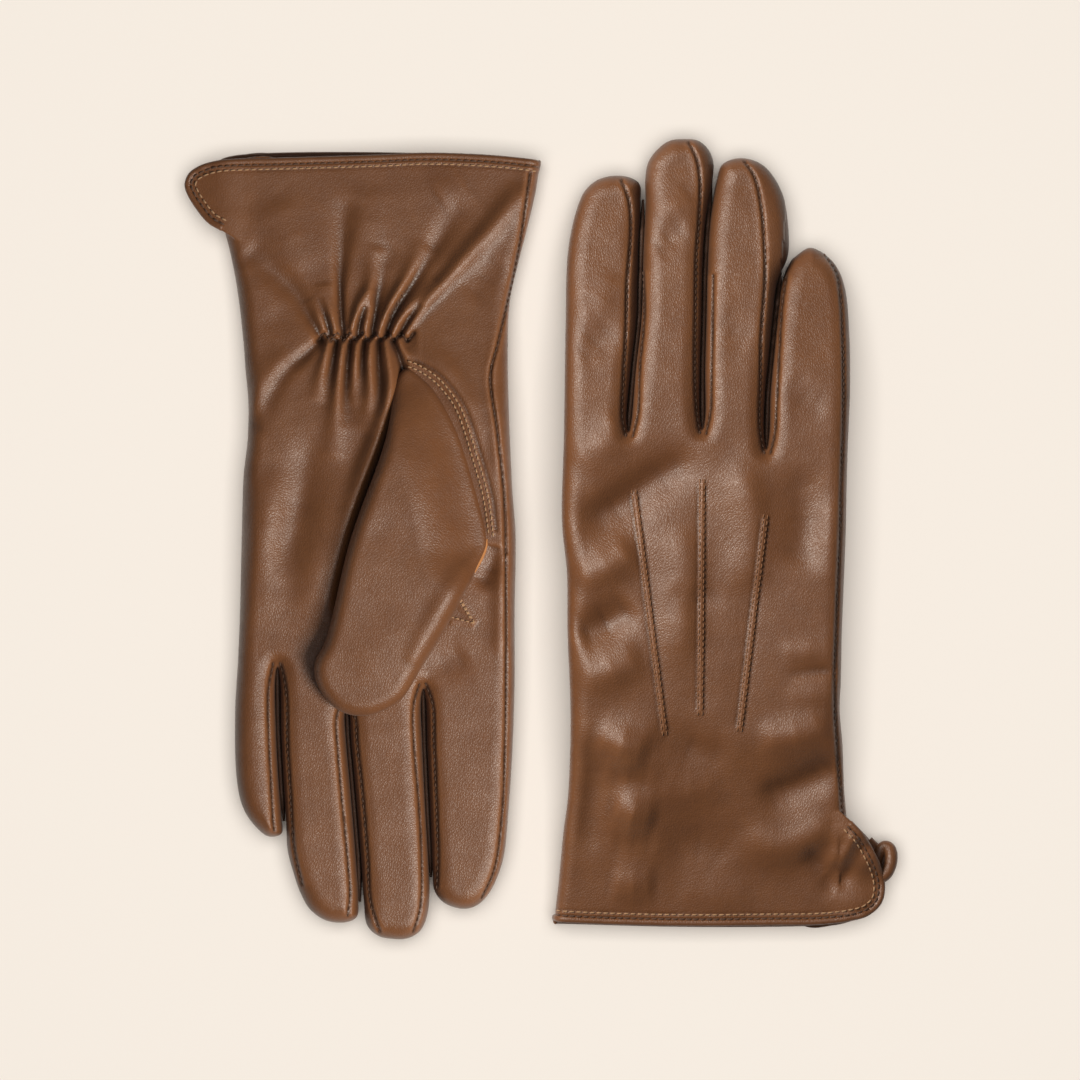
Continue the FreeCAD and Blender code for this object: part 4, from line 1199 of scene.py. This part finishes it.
def ear(pile):
    """The right glove's lower flap, curled up at its corner into a small loop."""
    u0, v0, lean = 54.9, 19.6, math.radians(-14)
    a = np.linspace(0, 2 * math.pi, 40)[:-1]
    x, y = 2.1 * np.cos(a), 4.5 * np.sin(a)
    u = u0 + x * math.cos(lean) - y * math.sin(lean)
    v = v0 + x * math.sin(lean) + y * math.cos(lean)
    z = 6.2 + 1.3 * np.cos(a + 0.6)
    pile.add(*tube(np.column_stack([u, v, z]), 2.0, 1.9, sides=14, closed=True))
    # the leather seen through the loop
    n = len(u)
    rim = np.column_stack([u0 + 0.8 * (u - u0), v0 + 0.8 * (v - v0), 0 * u + 5.9])
    pile.add(np.vstack([rim, (u0, v0, 5.6)]), [(i, (i + 1) % n, n) for i in range(n)])
    sweep = [(48.5, 24.0, 4.2), (50.5, 22.0, 4.6), (52.5, 20.5, 4.8), (54.5, v0, 4.8)]
    pile.add(*tube(smooth_curve(sweep, 0.8), 4.2, 1.2, sides=12))


def stitching(glove, form):
    """The stitches: dark ones for each body, and the hand's tan ones and those of its points."""
    dark = {k: Pile() for k in ("hand", *FINGERS)}
    tan, points = Pile(), Pile()
    face = CuffFace(form, True)
    stitch_seams(glove, form, dark)
    add_stitches(dark["hand"], face, glove["cuff"], 2.1, 1.5, 0.27, offset=1.95, lift=0.2)
    add_stitches(tan, face, glove["cuff"], 2.1, 1.45, 0.25, offset=3.3, lift=0.12)
    if glove["palm_up"]:
        add_stitches(dark["hand"], form, LEFT_SIDE_SEAM, 1.95, 1.25, 0.2, lift=0.05)
        for row in THUMB_ROWS:
            add_stitches(tan, form, row, 1.75, 1.15, 0.25, lift=0.1)
        add_stitches(dark["hand"], form, gather_line(), 1.5, 1.1, 0.22, lift=0.1)
        for line in QUIRK_STITCHES:
            add_stitches(tan, form, line, 1.6, 1.1, 0.25, lift=0.1)
    else:
        for line in POINTS:
            for offset in (-0.62, 0.62):
                add_stitches(points, form, line, 1.9, 1.3, 0.2, offset=offset, lift=0.06)
    return dark, tan, points


def cuff_edge(glove, form):
    """The rolled edges of both of the cuff's faces, with the right glove's curled corner."""
    pile = Pile()
    bind(pile, CuffFace(form, True), glove["cuff"], 1)
    bind(pile, CuffFace(form, False), glove["back_cuff"], -1)
    if not glove["palm_up"]:
        ear(pile)
    return pile


def raw_edge(form):
    """The pale cut edge at the thumb's root."""
    pile = Pile()
    line = smooth_curve(RAW_EDGE, 0.8)
    z = form.read(form.middle, line[:, 0], line[:, 1]) + 0.6
    pile.add(*tube(np.column_stack([line, z]), 0.7, 1.0, sides=10))
    return pile


def finish_glove(glove, form, thumb_form, own):
    """Adds stitches, edges and lining to a glove's leather, fixes the hand's pieces to the hand's body, and
    hides the parts that the pieces stand for.
    """
    g = glove["name"]
    hand = g + "_hand"
    dark, tan, points = stitching(glove, form)
    names = [n["node"] for n in frame["record"]["subparts"] if n["node"].startswith(g + "_")]
    seam_nodes = [g + "_cuff_stitching", g + "_point_stitching", g + "_thumb_seam_stitching"]
    on_fingers = [n for n in names if any(n.startswith(f"{g}_{k}_") for k in FINGERS)]
    on_thumb = [g + "_thumb_front", g + "_thumb_back", g + "_thumb_lining"]
    inside = [g + "_hand_lining"]
    edge = [g + "_cuff_facing"]
    rest = [n for n in names if n not in seam_nodes + on_fingers + on_thumb + inside + edge]

    def keep(obj, slot, *nodes):
        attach(obj, hand)
        if nodes:
            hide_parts(*nodes)

    def bend(pieces, start, end):
        """Bakes each piece's placement into its mesh; the two places, in glove millimetres, are not used.
        """
        start, end = (Vector(placed(glove, p)) for p in (start, end))
        for obj, slot in pieces:
            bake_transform(obj)

    keep(own["hand"], "leather", *rest)
    keep(cuff_edge(glove, form).piece(glove, g + "_cuff_edge", MATERIALS["leather"]), "leather", *edge)
    keep(lining_piece(glove, form), "lining", *inside)
    keep(dark["hand"].piece(glove, g + "_hand_stitches", MATERIALS[DARK]), "stitching", *seam_nodes)
    keep(tan.piece(glove, g + "_hand_pale_stitches", MATERIALS[TAN]), "stitching")
    if points.count:
        keep(points.piece(glove, g + "_point_stitches", MATERIALS["thread_middle"]), "stitching")

    strips = gap_strips(glove, form)
    for name in FINGERS:
        body, knuckle = f"{g}_{name}", glove["knuckles"][name]
        middle = float(form.read(form.middle, np.array([0.0]), np.array([knuckle]))[0])
        soft = [(own[name], "leather")]
        if dark[name].count:
            soft.append((dark[name].piece(glove, body + "_stitches", MATERIALS[DARK]), "stitching"))
        if name in strips:
            # painted shade in the gap between the fingers
            strip = strips[name].piece(glove, body + "_fourchette_shade", MATERIALS["deep"])
            soft.append((strip, "leather"))
        bend(soft, [0, knuckle, middle], [0, knuckle + 12, middle])
        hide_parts(*[n for n in names if n.startswith(body + "_")])

    hinge = glove["thumb_hinge"]
    across, at = np.array(hinge["across"]), np.array(hinge["at"])
    near, far = ([*(at + hinge[k] * across), hinge["z"]] for k in ("near", "far"))
    soft = [(own["thumb"], "leather")]
    if glove["palm_up"]:
        edge_piece = raw_edge(thumb_form).piece(glove, g + "_thumb_raw_edge", MATERIALS["raw"])
        soft.append((edge_piece, "leather"))
    bend(soft, near, far)
    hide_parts(*on_thumb)


# ---- put together -------------------------------------------------------------------------------
left_form, left_detail = make_left()
right_form, right_detail = make_right()
left_thumb_form, left_thumb_detail = make_left_thumb()
right_thumb_form, right_thumb_detail = make_right_thumb()
left_leather = build_hand(LEFT, left_form, left_detail)
right_leather = build_hand(RIGHT, right_form, right_detail)
left_leather["thumb"] = build_thumb(LEFT, left_thumb_form, left_thumb_detail)
right_leather["thumb"] = build_thumb(RIGHT, right_thumb_form, right_thumb_detail)
finish_glove(LEFT, left_form, left_thumb_form, left_leather)
finish_glove(RIGHT, right_form, right_thumb_form, right_leather)

# ---- floor, light and camera --------------------------------------------------------------------
floor_graph = Graph("pale_floor")
floor_graph.set(floor_graph.shader, {"Base Color": (0.86, 0.785, 0.70, 1), "Roughness": 0.9})
bpy.ops.mesh.primitive_plane_add(size=6, location=(0, 0, -0.0003))
floor = bpy.context.object
floor.name = "floor"
floor.data.materials.append(floor_graph.material)
floor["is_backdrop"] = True

world = bpy.context.scene.world or bpy.data.worlds.new("World")
bpy.context.scene.world = world
world.use_nodes = True
world.node_tree.nodes["Background"].inputs[0].default_value = (1.0, 0.97, 0.93, 1)
world.node_tree.nodes["Background"].inputs[1].default_value = 0.08


def lit_by(light, name, objects):
    """Keeps a light to some of the objects, as flags and cards do in a studio."""
    group = bpy.data.collections.new(name)
    for obj in objects:
        group.objects.link(obj)
    light.light_linking.receiver_collection = group


def area_light(name, location, size, power, target=(0, 0, 0), colour=(1, 1, 1), only=None):
    data = bpy.data.lights.new(name, "AREA")
    data.shape = "RECTANGLE"
    data.size, data.size_y = size
    data.energy = power
    data.color = colour
    obj = bpy.data.objects.new(name, data)
    obj.location = location
    obj.rotation_mode = "QUATERNION"
    obj.rotation_quaternion = (Vector(target) - Vector(location)).to_track_quat("-Z", "Y")
    bpy.context.scene.collection.objects.link(obj)
    obj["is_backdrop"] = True
    if only:
        lit_by(obj, name + "_receivers", only)


of_left = [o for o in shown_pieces() if o.name.startswith("left_")]
of_right = [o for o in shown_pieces() if o.name.startswith("right_")]
KEY_SIZE = 0.46, 0.46
KEY_COLOUR = 1.0, 0.94, 0.85
# the two gloves are lit apart: each from beyond its own index finger's tip
area_light("left_key", (0.54, -0.42, 0.88), KEY_SIZE, 16.3, (-0.05, 0, 0), KEY_COLOUR, of_left)
area_light("right_key", (-0.60, 0.36, 0.86), KEY_SIZE, 16.9, (0.05, 0, 0), KEY_COLOUR, of_right)
area_light("glove_top", (0.0, 0.0, 1.3), (0.7, 0.7), 2.0, only=of_left + of_right)
area_light("floor_light", (0.0, 0.0, 1.6), (1.8, 1.8), 36.0, only=[floor])

LENS, SENSOR = 150, 36
FRAME_WIDTH = 0.3272      # width of the view at the gloves' upper side
FRAME_HEIGHT = 0.018      # height of that side above the floor
camera_data = bpy.data.cameras.new("camera")
camera_data.lens = LENS
camera_data.sensor_width = SENSOR
camera = bpy.data.objects.new("camera", camera_data)
bpy.context.scene.collection.objects.link(camera)
camera.location = (0, 0, FRAME_HEIGHT + FRAME_WIDTH * LENS / SENSOR)
bpy.context.scene.camera = camera
